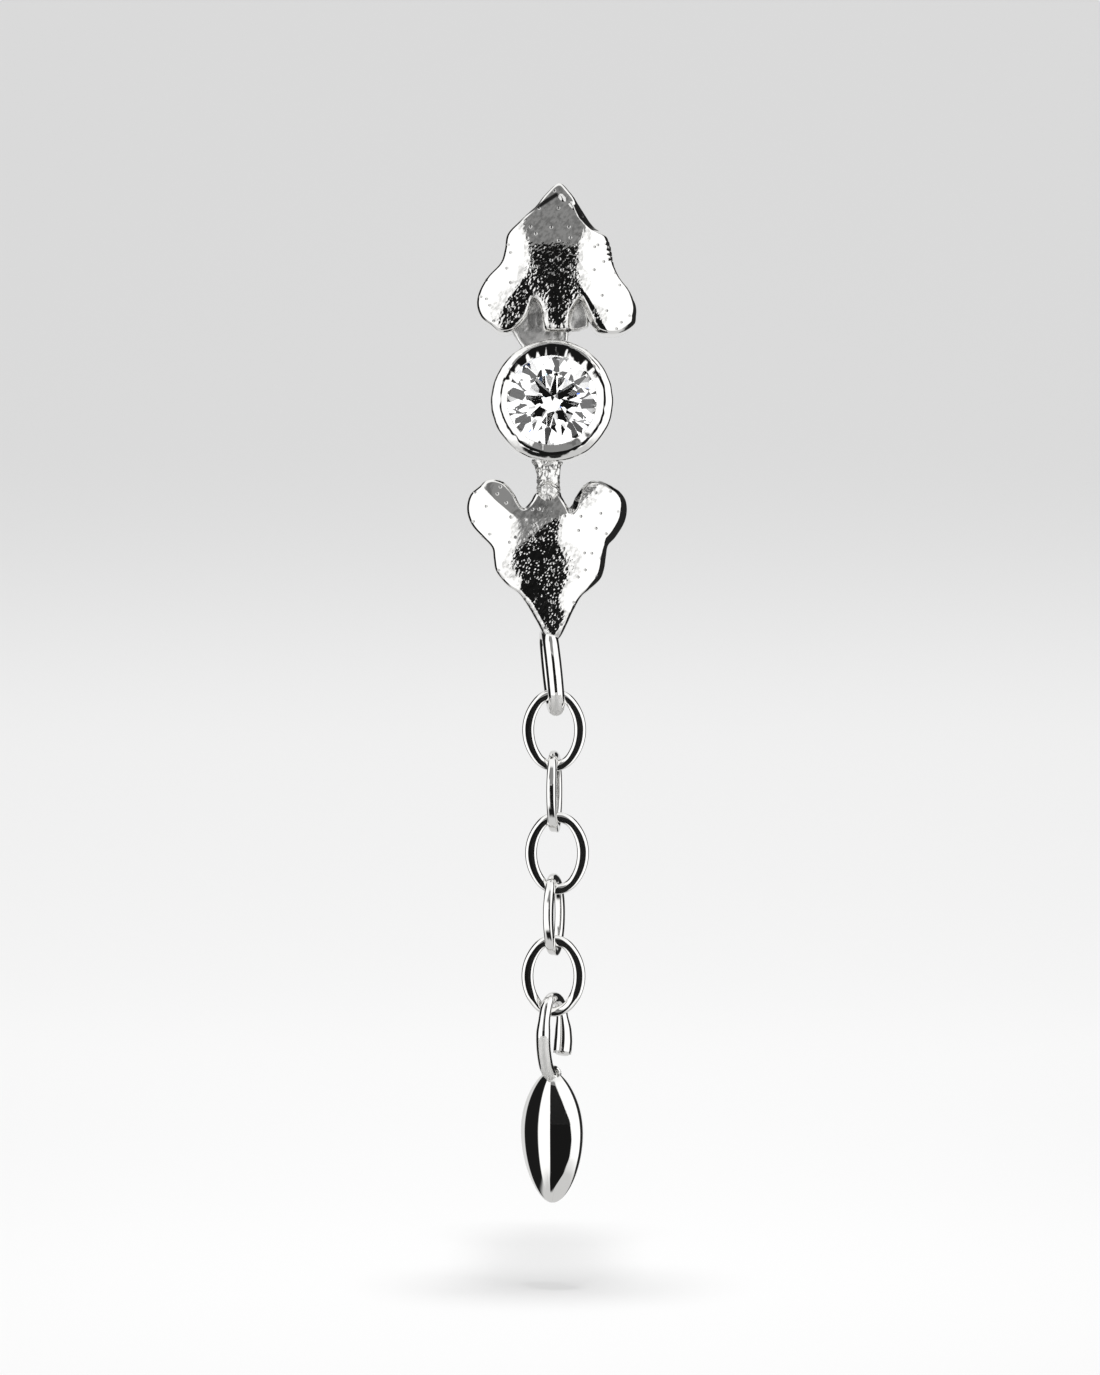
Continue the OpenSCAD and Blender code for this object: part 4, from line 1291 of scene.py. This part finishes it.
class EARRING_OT_stage(bpy.types.Operator):
    """Build the floor, the light and the camera"""

    bl_idname = "earring.stage"
    bl_label = "Studio"

    def execute(self, context):
        s = context.scene.earring_stage
        self.sweep(context, s)
        self.light(context)
        self.flag(context)
        self.surround(context)
        self.camera(context, s)
        context.scene.view_settings.view_transform = "Standard"
        context.scene.view_settings.look = "None"
        return {"FINISHED"}

    def sweep(self, context, s):
        """A pale floor that curves up into a back wall, seen by the camera and left out of reflections."""
        bm = bmesh.new()
        half = SWEEP_HALF
        profile = [Vector((-half, FLOOR_FRONT, s.floor)), Vector((-half, CURVE_START, s.floor))]
        for k in range(1, CURVE_STEPS + 1):
            t = math.radians(90 * k / CURVE_STEPS)
            profile.append(Vector((-half, CURVE_START + CURVE_RADIUS * math.sin(t),
                                   s.floor + CURVE_RADIUS * (1 - math.cos(t)))))
        profile.append(Vector((-half, CURVE_START + CURVE_RADIUS, WALL_TOP)))
        verts = [bm.verts.new(p) for p in profile]
        edges = [bm.edges.new(pair) for pair in zip(verts, verts[1:])]
        made = bmesh.ops.extrude_edge_only(bm, edges=edges)["geom"]
        bmesh.ops.translate(bm, verts=[v for v in made if isinstance(v, bmesh.types.BMVert)], vec=(2 * half, 0, 0))
        bmesh.ops.scale(bm, verts=bm.verts, vec=(MM, MM, MM))
        bmesh.ops.recalc_face_normals(bm, faces=bm.faces)
        for face in bm.faces:
            face.smooth = True
        sweep = stage_mesh(context, bm, "studio_sweep")
        sweep.visible_glossy = False
        sweep.visible_transmission = False
        material, shader = principled("studio_paper", Roughness=0.9, Specular_IOR_Level=0.0, Base_Color=grey(PAPER),
                                      Emission_Strength=1.0)
        tree = material.node_tree
        axes = parts_of(tree, add(tree, "ShaderNodeTexCoord").outputs["Object"])
        height = add(tree, "ShaderNodeMapRange", in_From_Min=PAPER_SPAN[0] * MM, in_From_Max=PAPER_SPAN[1] * MM,
                     in_Value=math_node(tree, "ADD", axes["Y"], axes["Z"]))
        ramp = add(tree, "ShaderNodeValToRGB", in_Fac=height.outputs["Result"])
        ramp.color_ramp.interpolation = "EASE"
        while len(ramp.color_ramp.elements) < len(PAPER_GLOWS):
            ramp.color_ramp.elements.new(1.0)
        for element, (place, tone) in zip(ramp.color_ramp.elements, PAPER_GLOWS):
            element.position = place
            element.color = grey(tone)
        # The ramp is the paper's glow: painted light, brightest in a band where the sweep curves up
        feed(shader.inputs["Emission Color"], ramp.outputs["Color"])
        sweep.data.materials.append(material)

    def light(self, context):
        """A soft light high over the earring, whose shadow falls straight down."""
        data = bpy.data.lights.new("overhead", "AREA")
        data.shape = "DISK"
        data.size = LAMP_SIZE * MM
        data.energy = LAMP_WATTS
        lamp = bpy.data.objects.new("overhead", data)
        lamp.location = Vector(LAMP_PLACE) * MM
        lamp.visible_glossy = False
        lamp.visible_transmission = False
        context.scene.collection.objects.link(lamp)

    def flag(self, context):
        """A dark card above and in front of the drop, which shows only in the silver."""
        left, right, low, high, depth = FLAG
        bm = bmesh.new()
        bmesh.ops.create_grid(bm, x_segments=1, y_segments=1, size=0.5)
        bmesh.ops.rotate(bm, verts=bm.verts, matrix=Matrix.Rotation(math.radians(90), 3, "X"))
        bmesh.ops.scale(bm, verts=bm.verts, vec=((right - left) * MM, 1, (high - low) * MM))
        bmesh.ops.translate(bm, verts=bm.verts, vec=((left + right) / 2 * MM, depth * MM, (low + high) / 2 * MM))
        flag = stage_mesh(context, bm, "studio_flag")
        flag.visible_camera = False
        flag.visible_diffuse = False
        flag.visible_transmission = False
        flag.visible_shadow = False
        material, _ = principled("studio_black", Base_Color=grey(FLAG_GREY), Roughness=1.0)
        flag.data.materials.append(material)

    def surround(self, context):
        """A light tent of soft boxes, with a dark opening in front and dark gaps at the sides."""
        world = bpy.data.worlds.new("studio_tent")
        context.scene.world = world
        world.use_nodes = True
        tree = world.node_tree
        background = tree.nodes["Background"]
        axes = parts_of(tree, add(tree, "ShaderNodeTexCoord").outputs["Generated"])
        toward = times(tree, axes["Y"], -1.0)
        across = times(tree, math_node(tree, "ARCTAN2", axes["X"], toward), math.degrees(1.0))
        rise = times(tree, math_node(tree, "ARCSINE", axes["Z"], 0.0), math.degrees(1.0))
        path = add(tree, "ShaderNodeLightPath").outputs
        lights = []
        for glow, boxes in ((TENT_GREY, SOFT_BOXES), (STONE_GLOW, STONE_SHADES)):
            for *edges, light in boxes:
                glow = blend(tree, glow, light, self.patch(tree, across, rise, *edges))
            lights.append(glow)
        shown = blend(tree, *lights, path["Is Transmission Ray"])
        shown = blend(tree, shown, BACKDROP_GREY, path["Is Camera Ray"])
        shown = times(tree, shown, rest_of(tree, path["Is Diffuse Ray"]))
        seen = [shown] * 3
        for az, el, size, tint in FIRE_SPOTS:
            mask = self.patch(tree, across, rise, az - size, az + size, el - size, el + size, FIRE_SOFTNESS)
            mask = times(tree, mask, path["Is Transmission Ray"])
            seen = [blend(tree, value, light, mask) for value, light in zip(seen, tint)]
        red, green, blue = seen
        colour = add(tree, "ShaderNodeCombineColor", in_Red=red, in_Green=green, in_Blue=blue)
        feed(background.inputs["Color"], colour.outputs["Color"])
        background.inputs["Strength"].default_value = 1.0

    def patch(self, tree, across, rise, left, right, low, high, soft):
        """A mask of the directions between two turns and two slopes, in degrees, with soft edges."""
        mask = None
        for value, start, stop in ((across, left, right), (rise, low, high)):
            opening = ramp_node(tree, value, start - soft, start + soft)
            closing = rest_of(tree, ramp_node(tree, value, stop - soft, stop + soft))
            part = times(tree, opening, closing)
            mask = part if mask is None else times(tree, mask, part)
        return mask

    def camera(self, context, s):
        """A camera level with the middle of the photograph, straight in front."""
        data = bpy.data.cameras.new("studio_camera")
        data.sensor_fit = "VERTICAL"
        data.sensor_height = 24.0
        data.lens = data.sensor_height * (s.distance - ORNAMENT_FRONT) / (PHOTO_H / PHOTO_PX_PER_MM)
        data.clip_start = 1 * MM
        data.clip_end = 10.0
        camera = bpy.data.objects.new("studio_camera", data)
        across = (PHOTO_W / 2 - PHOTO_ORIGIN[0]) / PHOTO_PX_PER_MM
        up = (PHOTO_ORIGIN[1] - PHOTO_H / 2) / PHOTO_PX_PER_MM
        camera.location = Vector((across, -s.distance, up)) * MM
        camera.rotation_euler = (math.radians(90), 0, 0)
        context.scene.collection.objects.link(camera)
        context.scene.camera = camera


class EARRING_PT_panel(bpy.types.Panel):
    """The earring's sizes and the buttons that model it"""

    bl_label = "Leaf Stud Earring"
    bl_space_type = "VIEW_3D"
    bl_region_type = "UI"
    bl_category = "Earring"

    def draw(self, context):
        for settings in SETTINGS:
            column = self.layout.column(align=True)
            for name in settings[1].__annotations__:
                column.prop(getattr(context.scene, settings[0]), name)
        for operator in OPERATORS:
            self.layout.operator(operator.bl_idname)


SETTINGS = (
    ("earring_leaf", LeafSettings),
    ("earring_cup", CupSettings),
    ("earring_stone", StoneSettings),
    ("earring_chain", ChainSettings),
    ("earring_drop", DropSettings),
    ("earring_silver", SilverSettings),
    ("earring_stage", StageSettings),
)
OPERATORS = (
    EARRING_OT_leaves,
    EARRING_OT_solder,
    EARRING_OT_cup,
    EARRING_OT_stone,
    EARRING_OT_chain,
    EARRING_OT_drop,
    EARRING_OT_flat_back,
    EARRING_OT_stage,
)


def register():
    for name, settings in SETTINGS:
        bpy.utils.register_class(settings)
        setattr(bpy.types.Scene, name, PointerProperty(type=settings))
    for operator in OPERATORS:
        bpy.utils.register_class(operator)
    bpy.utils.register_class(EARRING_PT_panel)


def unregister():
    bpy.utils.unregister_class(EARRING_PT_panel)
    for operator in reversed(OPERATORS):
        bpy.utils.unregister_class(operator)
    for name, settings in reversed(SETTINGS):
        delattr(bpy.types.Scene, name)
        bpy.utils.unregister_class(settings)


def main():
    register()
    bpy.ops.earring.leaves()
    bpy.ops.earring.solder()
    bpy.ops.earring.cup()
    bpy.ops.earring.stone()
    bpy.ops.earring.chain()
    bpy.ops.earring.drop()
    bpy.ops.earring.flat_back()
    bpy.ops.earring.stage()


if __name__ == "__main__":
    main()
